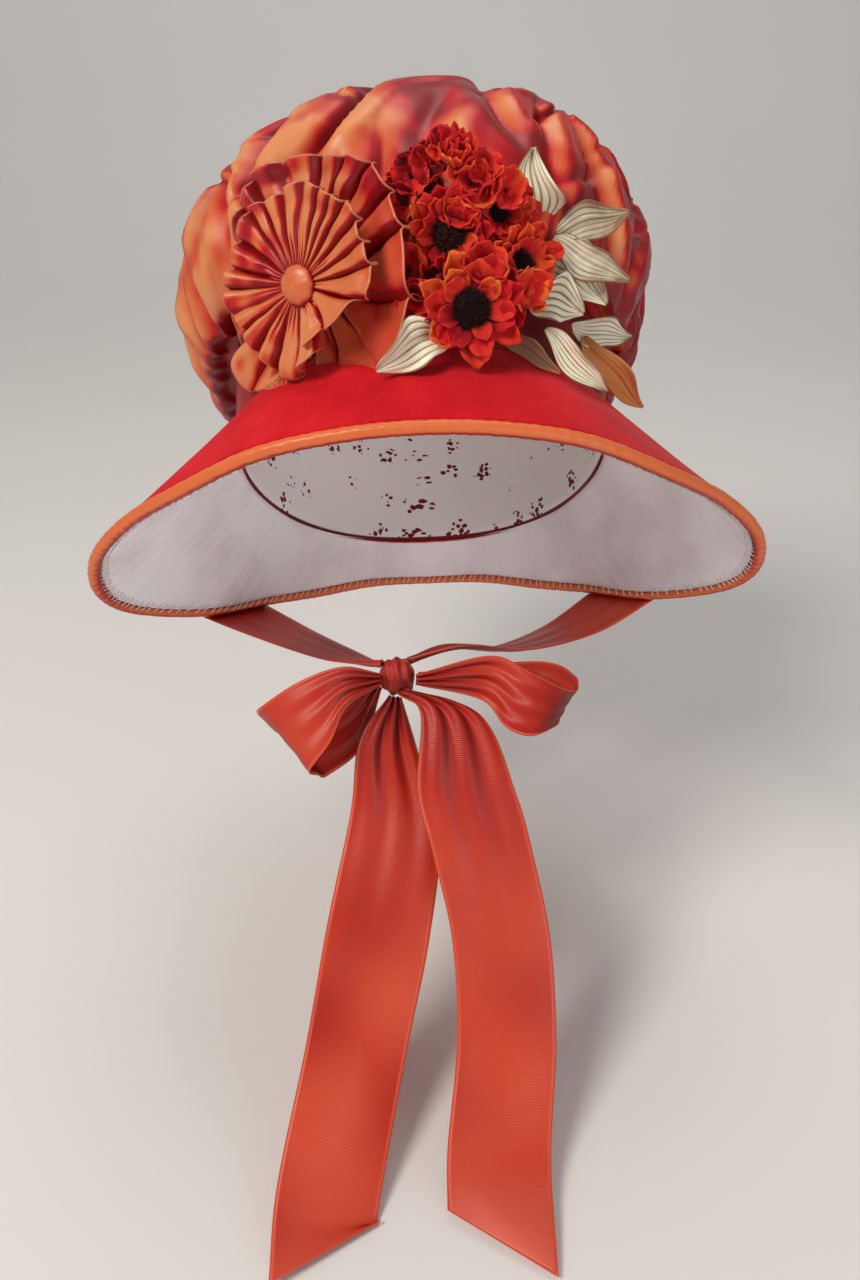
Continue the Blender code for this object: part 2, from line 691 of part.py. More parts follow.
def main():
    clear_scene()
    felt = finish("red_felt", RED_FELT)
    piping = finish("binding_silk", BINDING_SILK)
    cotton = finish("white_cotton", WHITE_COTTON)
    band_silk = finish("band_silk", BAND_SILK)
    silk = finish("shot_silk", SHOT_SILK)
    satin = finish("ribbon_satin", RIBBON_SATIN)
    printed = finish("print_cotton", PRINT_COTTON)
    petal = finish("petal_red", PETAL_RED)
    fuzz = finish("fuzz_brown", FUZZ_BROWN)
    leaf = finish("leaf_cream", LEAF_CREAM)

    make_brim(felt, cotton, piping)
    make_band(band_silk)
    make_crown(silk, printed)
    carriers = [bpy.data.objects[name] for name in ("crown", "crown_band", "brim", "brim_binding")]
    carriers += make_cockade(carriers, silk)
    for row in LEAVES:
        carriers.append(make_leaf(row, leaf, carriers))
    for row in FLOWERS:
        carriers += make_flower(row, petal, fuzz, carriers)
    make_ribbons(satin)


main()
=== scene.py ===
import math

import bpy
import numpy as np
from mathutils import Matrix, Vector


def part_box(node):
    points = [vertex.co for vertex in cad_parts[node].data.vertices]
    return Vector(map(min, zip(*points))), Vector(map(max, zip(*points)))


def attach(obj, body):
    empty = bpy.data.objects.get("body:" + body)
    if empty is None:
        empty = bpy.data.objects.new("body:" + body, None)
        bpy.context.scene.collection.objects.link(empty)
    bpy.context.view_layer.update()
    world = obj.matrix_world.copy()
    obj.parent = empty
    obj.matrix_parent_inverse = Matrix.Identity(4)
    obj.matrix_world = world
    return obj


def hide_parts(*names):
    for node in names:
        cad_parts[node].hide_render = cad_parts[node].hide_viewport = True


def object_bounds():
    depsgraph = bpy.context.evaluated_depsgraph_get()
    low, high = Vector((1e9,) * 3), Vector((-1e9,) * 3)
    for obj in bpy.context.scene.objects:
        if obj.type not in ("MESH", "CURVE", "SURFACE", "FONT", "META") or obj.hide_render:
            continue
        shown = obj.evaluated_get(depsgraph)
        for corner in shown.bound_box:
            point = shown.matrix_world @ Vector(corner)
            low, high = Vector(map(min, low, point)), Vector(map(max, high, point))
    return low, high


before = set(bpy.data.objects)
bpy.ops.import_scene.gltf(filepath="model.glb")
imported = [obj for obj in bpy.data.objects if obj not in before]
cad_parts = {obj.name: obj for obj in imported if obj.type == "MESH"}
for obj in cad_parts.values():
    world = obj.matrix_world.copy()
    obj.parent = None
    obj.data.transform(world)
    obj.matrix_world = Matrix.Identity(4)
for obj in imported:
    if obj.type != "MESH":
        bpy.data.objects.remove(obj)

bl_info = {
    "name": "Ribbon-Tied Bonnet",
    "version": (1, 0, 0),
    "blender": (4, 5, 0),
    "location": "3D View > Sidebar > Bonnet",
    "description": "Felt brim, gathered silk crown, cockade, flower spray and ribbon ties",
    "category": "Add Mesh",
}

CAD_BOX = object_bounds()
MM = 0.001

# Head opening with its tilt in radians, side band, and the binding's half sizes across and through the brim,
# in millimetres and as in the construction
OPENING_TILT = math.radians(50)
OPENING_HALF = (100.0, 109.0)
OPENING_POWER = 0.8
CROWN_POWER = 0.9
BAND_HEIGHT = 50.0
BAND_WALL = 2.0
GAP = 0.35
LINING_GAP = 1.4 * GAP
BINDING_REACH = 3.1
BINDING_SWELL = 3.3

# Outer edge of the binding, every 15 degrees from the front: x, y, z
RIM = [
    (0, -144, 74), (34, -143, 71.5), (70, -138, 62.5), (106, -126, 42.5), (138, -108, 19.5),
    (160, -93, -6), (165.5, -79, -32), (155, -60, -54), (126, -30, -75), (100, 9, -92),
    (70, 42, -106), (36, 66, -113), (0, 76, -117),
]

# Sections of the puffed crown: height, half width, half length, shift along the long axis, shift along X
CROWN = [
    (51.3, 98.8, 107.8, 0, 0), (51.0, 106, 115, -1, 0), (47, 115, 123, -5, -1),
    (57, 121, 128, -10, -2), (72, 125, 128, -15, -2), (90, 125.5, 123, -20, -1),
    (108, 121, 115, -24, 1), (127, 109, 103, -28, 4), (143, 91, 88, -29, 8),
    (156, 66, 65, -30, 12), (163.5, 34, 35, -31, 14),
]
CROWN_TOP = (167.0, -31, 14)

# Large folds of the puff: angle and height at the upper end, angle and height at the lower end,
# depth, half width
FOLDS = [
    (-8, 150, -14, 92, 9, 6), (16, 150, 20, 96, 6, 5), (40, 146, 46, 66, 7, 6),
    (62, 132, 66, 58, 6.5, 6), (84, 120, 92, 56, 6, 7), (-34, 140, -30, 70, 6, 6),
    (-50, 132, -46, 60, 6.5, 5.5), (-68, 118, -66, 54, 6, 6), (-86, 112, -84, 54, 5.5, 6),
    (-104, 124, -100, 54, 6, 7), (-124, 104, -120, 52, 5, 6), (-142, 126, -138, 54, 6, 7),
    (-162, 108, -158, 52, 5, 6), (180, 130, 176, 54, 6, 7), (160, 106, 156, 52, 5, 6),
    (140, 128, 136, 54, 6, 7), (120, 108, 116, 52, 5.5, 6), (104, 132, 102, 60, 5, 7),
    (-20, 158, -60, 140, 4, 6), (60, 158, 100, 140, 4, 7), (150, 156, 176, 120, 4, 7),
    (-130, 158, -110, 132, 4, 7), (4, 120, 8, 70, 5, 6), (28, 128, 32, 74, 4.5, 5),
    (-24, 124, -40, 82, 6, 4.4), (-60, 130, -46, 100, 4, 4.4), (-72, 112, -90, 82, 4, 4.4),
    (-28, 150, -46, 120, 5, 4.8), (48, 142, 28, 112, 6, 3.8), (68, 122, 86, 90, 5.5, 3.6),
    (-96, 138, -76, 108, 5, 3.6), (94, 140, 74, 118, 5, 3.8), (-12, 158, -34, 126, 6, 4.5),
    (-42, 156, -22, 130, 5, 4.5), (6, 160, -4, 132, 6, 4.5), (26, 156, 14, 130, 5, 4.5),
]

# Number of small folds strewn over the puff, and how far folds may draw it in and swell it out
SMALL_FOLDS = 24
PUFF_CHANGE = (-13, 2.6)

# Sections of the crown lining: height, half width, half length
CROWN_LINING = [(1.2, 96.9, 105.9), (40, 94.0, 102), (70, 84, 91), (92, 65, 71), (103, 40, 44)]
CROWN_LINING_TOP = 108.0

# The way in which the trimmings are laid on, from in front and above
LAY_ON = np.array([0.0, 0.97, -0.24]) / math.hypot(0.97, 0.24)

# Cockade: middle of its button, the way it faces, its room over the brim, the height under which it clears
# the side band and by what share, and the size of its button
COCKADE_MIDDLE = (-51, -70, 113.6)
COCKADE_FACING = (-0.55, -0.80, 0.22)
COCKADE_REST = 1.6
COCKADE_LOW = 12.0
COCKADE_CLEAR = 1.06
BUTTON_RADIUS = 8.8
BUTTON_HEIGHT = 4.0

# The cockade's tiers: radii, lift at the button and at the edge, height and sway of the pleats, and bays of
# the edge as angle, width and share by which it reaches out or draws in
TIERS = {
    "cockade_outer": dict(inner=11, outer=58, lifts=(-8, -9), wave=5.6, sway=2.0, rows=40, seed=21,
                          bays=((3.1, 0.8, -0.20), (-2.25, 0.45, 0.12), (-0.9, 0.4, -0.10))),
    "cockade_inner": dict(inner=5.5, outer=39.5, lifts=(0, 2.0), wave=3.9, sway=1.6, rows=36, seed=25,
                          bays=((-0.75, 0.55, -0.34), (1.1, 0.7, 0.10), (3.1, 0.6, -0.05))),
}
RUFFLE_COLUMNS = 760

# Gathers by the button, and the angle at which the pleats fold over their neighbours
TIGHT_GATHERS = 52
FOLDED_SIDE = -0.6

# Flowers: name, middle x, y, z, facing x, y, z, petals, radius, fuzzy middle radius
FLOWERS = [
    ("posy", 4, -52, 148, -0.2, -0.9, 0.35, 8, 17, 0),
    ("bud", 19, -52, 159, 0.05, -0.7, 0.7, 6, 13, 0),
    ("daisy_top", 37, -55, 139, 0.35, -0.88, 0.3, 7, 16, 6),
    ("daisy_brown", 15, -62, 131, -0.05, -0.95, 0.3, 8, 19, 8),
    ("trumpet", 15.7, -72, 117, 0.0, -0.95, 0.35, 5, 9, 0),
    ("daisy_side", 46, -72, 119, 0.5, -0.85, 0.2, 8, 18, 8),
    ("daisy_front", 23, -88, 106, 0.1, -0.95, 0.25, 7, 22, 9),
]

# Reach of the petals as a share of the flower's radius, and the length of the fibres in its middle
PETAL_REACH = 1.12
FIBRE_LENGTH = 3.0

# How each flower's petals are cut: layers, lowest and highest tint, first and last lean in degrees
PETALS = {
    "posy": (4, 0.10, 0.50, 20, 82),
    "bud": (3, 0.15, 0.85, 38, 84),
    "daisy_top": (3, 0.20, 0.85, 12, 44),
    "daisy_brown": (3, 0.10, 0.80, 10, 48),
    "trumpet": (2, 0.05, 0.22, 30, 66),
    "daisy_side": (3, 0.20, 0.95, 8, 42),
    "daisy_front": (3, 0.10, 0.90, 6, 38),
}

# Leaves: name; base x, y, z; tip x, y, z; half width; arch; twist in degrees; tint; curl of the edges
LEAVES = [
    ("tall", 58, -58, 130, 50, -62, 168, 12, 7, 20, 0.0, 0.55),
    ("tall_small", 42, -58, 137, 34, -62, 156, 6, 3, -15, 0.15, 0.4),
    ("upper", 62, -50, 127, 98, -44, 133, 9, 4, 10, 0.35, 0.35),
    ("side", 58, -62, 127, 89, -64, 101, 12, 1, -12, 0.0, 0.5),
    ("side_brown", 62, -52, 124, 97, -50, 104, 8.5, 4, 15, 0.28, 0.45),
    ("low", 52, -72, 108, 76, -66, 98, 12, 4, -10, 0.0, 0.45),
    ("left", 12, -92, 99, -20, -105, 86, 10.5, 6.5, 20, 0.0, 0.4),
    ("thin_brown", 37, -88, 95, 63, -98, 77, 4.5, 4, 10, 0.6, 0.3),
    ("drooping", 56, -80, 92, 84, -84, 64, 7, 6, -10, 0.1, 0.7),
    ("short", 74, -64, 88, 103, -56, 78, 8, 4, 12, 0.1, 0.45),
    ("orange", 80, -62, 82, 108, -62, 45, 8, 6, -14, 1.0, 0.5),
]

# Small florets that fill the spray between the flowers: middle x and z, radius, tint
FLORETS = [
    (-4, 140, 11, 0.3), (-9, 129, 10, 0.2), (-3, 118, 11, 0.25), (2, 107, 11, 0.3),
    (27, 147, 11, 0.5), (28, 121, 11, 0.35), (33, 114, 11, 0.3),
    (37, 99, 11, 0.3), (11, 97, 10, 0.6), (47, 107, 11, 0.65),
    (8, 157, 10, 0.2), (24, 152, 10, 0.4),
    (20, 139, 11, 0.45), (3, 109, 9, 0.15),
    (40, 146, 10, 0.5), (30, 155, 9, 0.3), (14, 165, 8, 0.2), (0, 152, 10, 0.25),
]

# Knot: middle and half sizes
KNOT_MIDDLE = np.array([-17.0, -97.0, -75.0])
KNOT_HALF = np.array([10.0, 9.0, 10.5])

# Where each tie crosses the brim: angle round the opening at its front and back edge
TIE_ANGLES = (122, 138)
TIE_START = 0.12

# Each table: edge a at x, y, z, then edge b at x, y, z; the ends at the knot are left out
TIE_LEFT = [
    (-97, -50, -76, -66, -12, -99), (-61, -75, -75, -38, -42, -96), (-40, -88, -71, -25, -72, -84),
]
TIE_RIGHT = [
    (96, -28, -96, 68, 6, -112), (54, -66, -82, 34, -34, -100), (18, -82, -68, 5, -66, -78),
]
LOOP_LEFT = [
    (-44, -103, -64, -42, -116, -79), (-65, -105, -70, -51, -126, -93), (-85, -103, -85, -62, -130, -107),
    (-90, -96, -94, -59, -121, -117), (-86, -88, -102, -55, -110, -126), (-53, -88, -94, -37, -104, -113),
]
LOOP_RIGHT = [
    (30, -92, -68, 25, -99, -90), (50, -96, -76, 36, -116, -95), (67, -94, -88, 47, -125, -94),
    (76, -84, -96, 57, -118, -97), (76, -74, -94, 63, -104, -100), (56, -76, -83, 45, -94, -93),
]
TAIL_LEFT = [
    (-38, -110, -105, -9, -108, -112), (-44, -128, -137, 1, -133, -147),
    (-57, -165, -177, -6, -168, -187), (-70, -197, -228, -21, -201, -240),
    (-83, -250, -262, -35, -256, -274), (-84, -291, -272, -34, -262, -274.5),
]
TAIL_RIGHT = [
    (-6, -116, -84, 24, -112, -90), (-9, -138, -115, 40, -138, -121), (-3, -156, -139, 47, -156, -146),
    (5, -176, -178, 54, -178, -183), (6, -200, -222, 55, -203, -226), (-1, -238, -256, 49, -242, -262),
    (-2, -260, -271, 47, -291, -275),
]

# How much of a ribbon's cut is left where it is drawn together at the knot
LOOP_SHARE = 0.72
TIE_SHARE = 0.86

# How much of its room each cloth fills, and points across each ribbon
LINING_BODY = 0.8
BAND_BODY = 0.8
RIBBON_BODY = 0.7
RIBBON_COLUMNS = 25

# Stitches: half the turn that each runs round the brim, in radians, and the radius of the thread
STITCH_TURN = 0.006
THREAD_RADIUS = 0.26

# Camera: place in millimetres, tilt down and roll in degrees, focal length on a 36 mm long side
CAMERA_PLACE = (0.0, -562.0, 236.5)
CAMERA_TILT = 32.0
CAMERA_ROLL = -2.2
CAMERA_SIDE = 36.0
CAMERA_LENS = 31.16

# Soft lamps: name, place in metres, size, power, colour; then the point they look at
LAMPS = [
    ("key", (-0.85, -0.85, 1.35), 0.7, 19.5, (1.0, 0.95, 0.88)),
    ("fill", (0.9, -1.5, 0.05), 1.2, 8, (0.97, 0.98, 1.0)),
    ("top", (0.2, 0.6, 1.9), 1.2, 9, (1.0, 0.98, 0.96)),
]
LAMPS_TARGET = np.array([0.0, -0.04, 0.0])
SKY_COLOUR = (0.93, 0.93, 0.95, 1)
SKY_STRENGTH = 0.26

# Floor, in millimetres: its room under the tails, half its width, and its section as y and rise
FLOOR_DROP = 1.5
FLOOR_HALF = 4500
FLOOR_RUN = [
    (-3500, 0), (-1500, 0), (600, 0), (1200, 0), (1550, 60), (1800, 240), (1950, 560), (2000, 1200),
    (2000, 3200),
]

# Rows of the rim's curve, the small turn, in radians, that gives the way along an edge, and sines in a ripple
RIM_ROWS = 720
TURN_STEP = 0.01
RIPPLE_SINES = 6

# Points along and across each leaf, and across each petal
LEAF_ROWS = 44
LEAF_COLUMNS = 21
PETAL_COLUMNS = 7

# What counts as the brim under a point: its upper face over the middle of the felt, how near that is in plan,
# and the height where there is none; then how many points are looked up at a time
BRIM_FACE = 1.2
BRIM_NEAR = 5.0
NO_BRIM = -1000.0
LOOK_UP = 1500

SIDE_AXIS = np.array([1.0, 0.0, 0.0])
LONG_AXIS = np.array([0.0, math.cos(OPENING_TILT), -math.sin(OPENING_TILT)])
UP_AXIS = np.array([0.0, math.sin(OPENING_TILT), math.cos(OPENING_TILT)])

# The ways that the shot silk's warp faces, in front, behind and on the cockade: cloth turned toward them gets
# the lighter warp colours, which are partly the silk's two tones and partly painted light and shade
SHOT_WAY = np.array([-0.50, -0.76, 0.30])
SHOT_WAY_BEHIND = np.array([0.62, 0.70, 0.25])
COCKADE_WAY = np.array([-0.80, -0.25, 0.55])

# The ways that the lit side of the binding and of the ribbon faces
BINDING_WAY = np.array([-0.1, -0.72, 0.68])
RIBBON_WAY = np.array([-0.35, -0.6, 0.75])


def srgb(*screen):
    """A screen colour of 0 to 255 as a linear one: ((s + 0.055) / 1.055)^2.4, or s / 12.92 near black."""
    share = np.array(screen) / 255
    linear = np.where(share <= 0.04045, share / 12.92, ((share + 0.055) / 1.055) ** 2.4)
    return tuple(float(value) for value in linear)


def unit(vectors):
    """Each vector of an array at length one."""
    return vectors / np.maximum(np.linalg.norm(vectors, axis=-1, keepdims=True), 1e-9)


def smooth_step(low, high, values):
    """0 under low, 1 over high, and 3t^2 - 2t^3 between them."""
    t = np.clip((values - low) / (high - low), 0.0, 1.0)
    return t * t * (3 - 2 * t)


def ripple(points, size, seed):
    """A smooth wavy value from about -1 to 1: sines of one length range in seeded directions, summed."""
    rng = np.random.default_rng(seed)
    ways = unit(rng.normal(size=(RIPPLE_SINES, points.shape[-1]))) * (2 * math.pi / size)
    ways *= rng.uniform(0.7, 1.5, (RIPPLE_SINES, 1))
    starts = rng.uniform(0, 2 * math.pi, RIPPLE_SINES)
    return np.sin(points @ ways.T + starts).sum(axis=-1) / math.sqrt(RIPPLE_SINES * 1.6)


def smooth_rows(rows, count, ring=False):
    """`count` rows read off the Catmull-Rom curve through the given rows."""
    rows = np.asarray(rows, dtype=float)
    spans = len(rows) if ring else len(rows) - 1
    steps = np.arange(count) * spans / (count if ring else count - 1)
    start = np.minimum(np.floor(steps).astype(int), spans - 1)
    t = (steps - start).reshape([-1] + [1] * (rows.ndim - 1))
    if ring:
        a, b, c, d = (rows[(start + k) % len(rows)] for k in (-1, 0, 1, 2))
    else:
        padded = np.concatenate([[2 * rows[0] - rows[1]], rows, [2 * rows[-1] - rows[-2]]])
        a, b, c, d = (padded[start + k + 1] for k in (-1, 0, 1, 2))
    return 0.5 * (2 * b + (c - a) * t + (2 * a - 5 * b + 4 * c - d) * t**2 + (3 * b - a - 3 * c + d) * t**3)


def grid_normals(grid, ring=False):
    """The unit cross product of the steps along the columns and along the rows of a grid."""
    if ring:
        across = np.roll(grid, -1, axis=1) - np.roll(grid, 1, axis=1)
    else:
        across = np.gradient(grid, axis=1)
    return unit(np.cross(across, np.gradient(grid, axis=0)))


def facing_normals(grid, way):
    """The normals of a closed ring's grid, each turned to the side that the given way is on."""
    normals = grid_normals(grid, True)
    return normals * np.sign(np.sum(normals * way, axis=-1, keepdims=True))


def grid_quads(rows, columns, ring):
    """Quads of a grid and the place of each corner as shares across and along it."""
    wide = columns if ring else columns - 1
    i, j = np.meshgrid(np.arange(rows - 1), np.arange(wide), indexing="ij")
    i, j = i.ravel(), j.ravel()
    steps = [(0, 0), (0, 1), (1, 1), (1, 0)]
    quads = np.stack([(i + di) * columns + (j + dj) % columns for di, dj in steps], axis=1)
    uv = np.stack([np.stack([(j + dj) / wide, (i + di) / (rows - 1)], axis=1) for di, dj in steps], axis=1)
    return quads, uv


def end_uvs(columns, steps):
    """UVs of the faces past a grid's last row: each corner's share round the row, and 1 along the grid."""
    across = (np.arange(columns)[:, None] + np.array(steps)) / columns
    return np.stack([across, np.ones_like(across)], axis=-1)


def put_mesh(name, points, polygons, uvs, material, wall, tints):
    """A smooth mesh object from points in millimetres and arrays of quads or triangles with their UVs.

    Each tint becomes an attribute of the points. A wall thickens the mesh to both sides.
    """
    mesh = bpy.data.meshes.new(name)
    corners = np.concatenate([part.ravel() for part in polygons])
    totals = np.concatenate([np.full(len(part), part.shape[1]) for part in polygons])
    mesh.vertices.add(len(points))
    mesh.vertices.foreach_set("co", (points * MM).astype(np.float32).ravel())
    mesh.loops.add(len(corners))
    mesh.loops.foreach_set("vertex_index", corners.astype(np.int32))
    mesh.polygons.add(len(totals))
    mesh.polygons.foreach_set("loop_start", (np.cumsum(totals) - totals).astype(np.int32))
    mesh.update(calc_edges=True)
    places = np.concatenate([part.reshape(-1, 2) for part in uvs])
    mesh.uv_layers.new(name="UVMap").data.foreach_set("uv", places.astype(np.float32).ravel())
    for label, values in tints.items():
        mesh.attributes.new(label, "FLOAT", "POINT").data.foreach_set("value", values.astype(np.float32))
    mesh.validate()
    mesh.shade_smooth()
    mesh.materials.append(material)
    piece = bpy.data.objects.new(name, mesh)
    bpy.context.scene.collection.objects.link(piece)
    if wall:
        solidify = piece.modifiers.new("wall", "SOLIDIFY")
        solidify.thickness = wall * MM
        solidify.offset = 0.0
    return piece


def put_grid(name, grid, material, wall=0.0, ring=False, pole=None, tube=False, tints=None):
    """A sheet or tube from a grid of points; a pole closes its last row, and a wall thickens it."""
    rows, columns = grid.shape[:2]
    points = grid.reshape(-1, 3)
    values = {label: np.ravel(tint) for label, tint in (tints or {}).items()}
    quads, uv = grid_quads(rows, columns, ring)
    polygons, uvs = [quads], [uv]
    here = np.arange(columns)
    ahead = (here + 1) % columns
    last = (rows - 1) * columns
    if tube:
        polygons.append(np.stack([last + here, last + ahead, ahead, here], axis=1))
        uvs.append(end_uvs(columns, (0, 1, 1, 0)))
    if pole is not None:
        polygons.append(np.stack([last + here, last + ahead, np.full(columns, len(points))], axis=1))
        uvs.append(end_uvs(columns, (0, 1, 0.5)))
        points = np.vstack([points, pole])
        values = {label: np.append(tint, tint[-columns:].mean()) for label, tint in values.items()}
    return put_mesh(name, points, polygons, uvs, material, wall, values)


def put_patches(name, patches, material, wall=0.0, tints=None, closed=False):
    """Many equal grids, an array of patches by rows by columns of points, as one mesh."""
    count, rows, columns = patches.shape[:3]
    quads, uv = grid_quads(rows, columns, closed)
    shift = (np.arange(count) * rows * columns)[:, None, None]
    every = (quads[None] + shift).reshape(-1, 4)
    values = {label: np.broadcast_to(tint, patches.shape[:3]).ravel()
              for label, tint in (tints or {}).items()}
    uvs = [np.tile(uv, (count, 1, 1))]
    return put_mesh(name, patches.reshape(-1, 3), [every], uvs, material, wall, values)


def worn(piece, slot, *nodes):
    """Joins a finished piece to the bonnet, in place of its construction solids."""
    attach(piece, "root")
    if nodes:
        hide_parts(*nodes)
    return piece


def seat(points, node):
    """Moves points along the way the trimmings are laid on, to the depth of their construction solid."""
    low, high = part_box(node)
    middle = points[..., 1].min() / 2 + points[..., 1].max() / 2
    return points + LAY_ON * ((low.y + high.y) / 2 / MM - middle) / LAY_ON[1]


def facing(place, way):
    """Turn and place whose local Z is the given way and whose local Y leans upward."""
    z = unit(np.array(way, dtype=float))
    x = unit(np.cross([0.0, 0.0, 1.0], z))
    return np.stack([x, np.cross(z, x), z], axis=1), np.array(place, dtype=float)


def oval(angle, half_width, half_length, height, shift=0.0, middle=0.0, power=OPENING_POWER):
    """An oval across the crown's axis: x is |sin|^power of the angle, and the front is at angle 0."""
    across = np.sign(np.sin(angle)) * np.abs(np.sin(angle)) ** power
    along = shift - half_length * np.cos(angle)
    return ((middle + half_width * across)[..., None] * SIDE_AXIS + along[..., None] * LONG_AXIS
            + np.broadcast_to(height, along.shape)[..., None] * UP_AXIS)


def ring_angles(count):
    """Angles of the columns round the opening, in radians."""
    return np.arange(count) * 2 * math.pi / count


def opening(angle, height=0.0, inset=0.0):
    """The edge of the head opening, raised along the axis and inset in its own plane."""
    edge = oval(angle, *OPENING_HALF, 0.0)
    step = oval(angle + TURN_STEP, *OPENING_HALF, 0.0) - oval(angle - TURN_STEP, *OPENING_HALF, 0.0)
    inward = unit(np.cross(step, UP_AXIS))
    inward *= -np.sign(np.sum(inward * edge, axis=-1, keepdims=True))
    return edge + np.asarray(inset)[..., None] * inward + np.asarray(height)[..., None] * UP_AXIS


def rim(angle):
    """The outer edge of the binding, read off the rim table on both sides."""
    half = np.array(RIM, dtype=float)
    other = half[-2:0:-1] * np.array([-1.0, 1.0, 1.0])
    dense = smooth_rows(np.concatenate([half, other]), RIM_ROWS, ring=True)
    turn = (np.degrees(angle) % 360) * (RIM_ROWS / 360)
    low = np.floor(turn).astype(int)
    part = (turn - low)[..., None]
    return dense[low % RIM_ROWS] * (1 - part) + dense[(low + 1) % RIM_ROWS] * part


def brim_frame(angle):
    """Opening edge, rim, the way down the brim, and the way out of its face, at each angle."""
    start = opening(angle)
    end = rim(angle)
    down = unit(end - start)
    out = unit(np.cross(unit(rim(angle + 2 * TURN_STEP) - rim(angle - 2 * TURN_STEP)), down))
    return start, end, down, out * np.sign(np.sum(out * start, axis=-1, keepdims=True))


def brim_sheet(angle, shares, lift):
    """Rows down the brim: opening edge + share of the run to the binding + lift along the outward way."""
    start, end, down, out = brim_frame(angle)
    run = end - (2 * BINDING_REACH + GAP) * down - start
    lifts = np.broadcast_to(lift, (len(shares), len(angle)))
    return start + run * np.asarray(shares)[:, None, None] + out * lifts[..., None]


def shot_tone(normals, points, seed, way=SHOT_WAY, low=0.05, high=1.0):
    """How much warp shows in shot silk: how far the cloth faces the warp's way, with a slow drift; partly the
    silk's two tones and partly painted light and shade.
    """
    lit = np.maximum(normals @ unit(way), 0.9 * (normals @ unit(SHOT_WAY_BEHIND)))
    drift = 0.20 * ripple(points, 44, seed) + 0.08 * ripple(points, 15, seed + 1)
    return smooth_step(low, high, lit + drift)


def picked(colours, *names):
    """Each named colour as an array."""
    return [np.array(getattr(colours, name)) for name in names]


class Finish:
    """A procedural material and short calls that add and join its nodes."""

    def __init__(self, name, colour, roughness, **sockets):
        self.material = bpy.data.materials.new(name)
        self.material.use_nodes = True
        self.material.diffuse_color = (*colour, 1.0)
        self.tree = self.material.node_tree
        self.shader = self.tree.nodes["Principled BSDF"]
        self.shader.inputs["Base Color"].default_value = (*colour, 1.0)
        self.shader.inputs["Roughness"].default_value = roughness
        for label, value in sockets.items():
            self.shader.inputs[label.replace("_", " ")].default_value = value

    def add(self, kind, values=None, **settings):
        """A node with its settings and input values; a value that is a socket is linked."""
        node = self.tree.nodes.new("ShaderNode" + kind)
        for label, value in settings.items():
            setattr(node, label, value)
        for label, value in (values or {}).items():
            if isinstance(value, bpy.types.NodeSocket):
                self.tree.links.new(value, node.inputs[label])
            else:
                node.inputs[label].default_value = value
        return node

    def place(self, kind="Object", scale=(1, 1, 1), turn=(0, 0, 0)):
        """Coordinates of one kind, scaled and turned."""
        source = self.add("TexCoord").outputs[kind]
        return self.add("Mapping", {"Vector": source, "Scale": scale, "Rotation": turn}).outputs["Vector"]

    def noise(self, vector, scale, detail=3.0, distortion=0.0):
        """Soft noise from 0 to 1."""
        values = {"Vector": vector, "Scale": scale, "Detail": detail, "Distortion": distortion}
        return self.add("TexNoise", values).outputs["Fac"]

    def cloud(self, *values):
        """Soft noise about zero, from the same values as noise."""
        return self.math("SUBTRACT", self.noise(*values), 0.5)

    def waves(self, vector, scale, direction="X", distortion=0.0, detail=0.0):
        """Bands across one direction."""
        values = {"Vector": vector, "Scale": scale, "Distortion": distortion, "Detail": detail}
        return self.add("TexWave", values, bands_direction=direction).outputs["Fac"]

    def dots(self, vector, scale, randomness):
        """The distance to the nearest of scattered points."""
        values = {"Vector": vector, "Scale": scale, "Randomness": randomness}
        return self.add("TexVoronoi", values).outputs["Distance"]

    def tint(self, label):
        """An attribute of the piece's points."""
        return self.add("Attribute", attribute_name=label).outputs["Fac"]

    def uv(self, axis):
        """One coordinate of the piece's own UV map."""
        return self.add("SeparateXYZ", {"Vector": self.place("UV")}).outputs[axis]

    def math(self, operation, *values):
        """A sum of one kind on two or three values."""
        return self.add("Math", dict(enumerate(values)), operation=operation).outputs[0]

    def sum(self, a, b, share=1.0):
        """b times share, plus a."""
        return self.math("MULTIPLY_ADD", b, share, a)

    def ramp(self, factor, *stops):
        """A run of colours, or of greys given as single values, from stops of place and colour."""
        node = self.add("ValToRGB", {"Fac": factor})
        elements = node.color_ramp.elements
        while len(elements) < len(stops):
            elements.new(0.5)
        for element, (place, colour) in zip(elements, stops):
            element.position = place
            element.color = (*np.broadcast_to(colour, 3), 1.0)
        return node.outputs["Color"]

    def mix(self, factor, a, b):
        """From a to b by the factor."""
        a, b = (value if isinstance(value, bpy.types.NodeSocket) else (*value, 1.0) for value in (a, b))
        return self.add("Mix", {0: factor, 6: a, 7: b}, data_type="RGBA").outputs[2]

    def join(self, label, socket):
        """Leads a socket into the surface."""
        self.tree.links.new(socket, self.shader.inputs[label])

    def bump(self, height, strength, distance):
        """Adds a bump over those that are there."""
        last = self.shader.inputs["Normal"].links
        values = {"Height": height, "Strength": strength, "Distance": distance}
        if last:
            values["Normal"] = last[0].from_socket
        self.join("Normal", self.add("Bump", values).outputs["Normal"])


def felt_finish(colours):
    """Short-napped wool felt: mottled red with a fuzzy sheen and a fine matted surface."""
    red, = picked(colours, "felt")
    made = Finish("felt", red, 0.92, Sheen_Weight=0.06, Sheen_Roughness=0.45, Specular_IOR_Level=0.12)
    place = made.place()
    mottle = made.sum(made.noise(place, 34, 5), made.noise(place, 420, 3), 0.35)
    made.join("Base Color", made.ramp(mottle, (0.35, red * 0.74), (0.62, red), (0.95, red * 1.18 + 0.01)))
    made.bump(made.noise(place, 1500, 4), 0.28, 0.0005)
    made.bump(made.noise(place, 260, 3), 0.16, 0.0008)
    return made.material


def weave(made, place, scale, strength):
    """Adds crossed threads to a finish, with a little unevenness."""
    threads = made.sum(made.waves(place, scale, "X", 0.6, 1.0), made.waves(place, scale, "Y", 0.6, 1.0))
    made.bump(threads, strength, 0.0003)


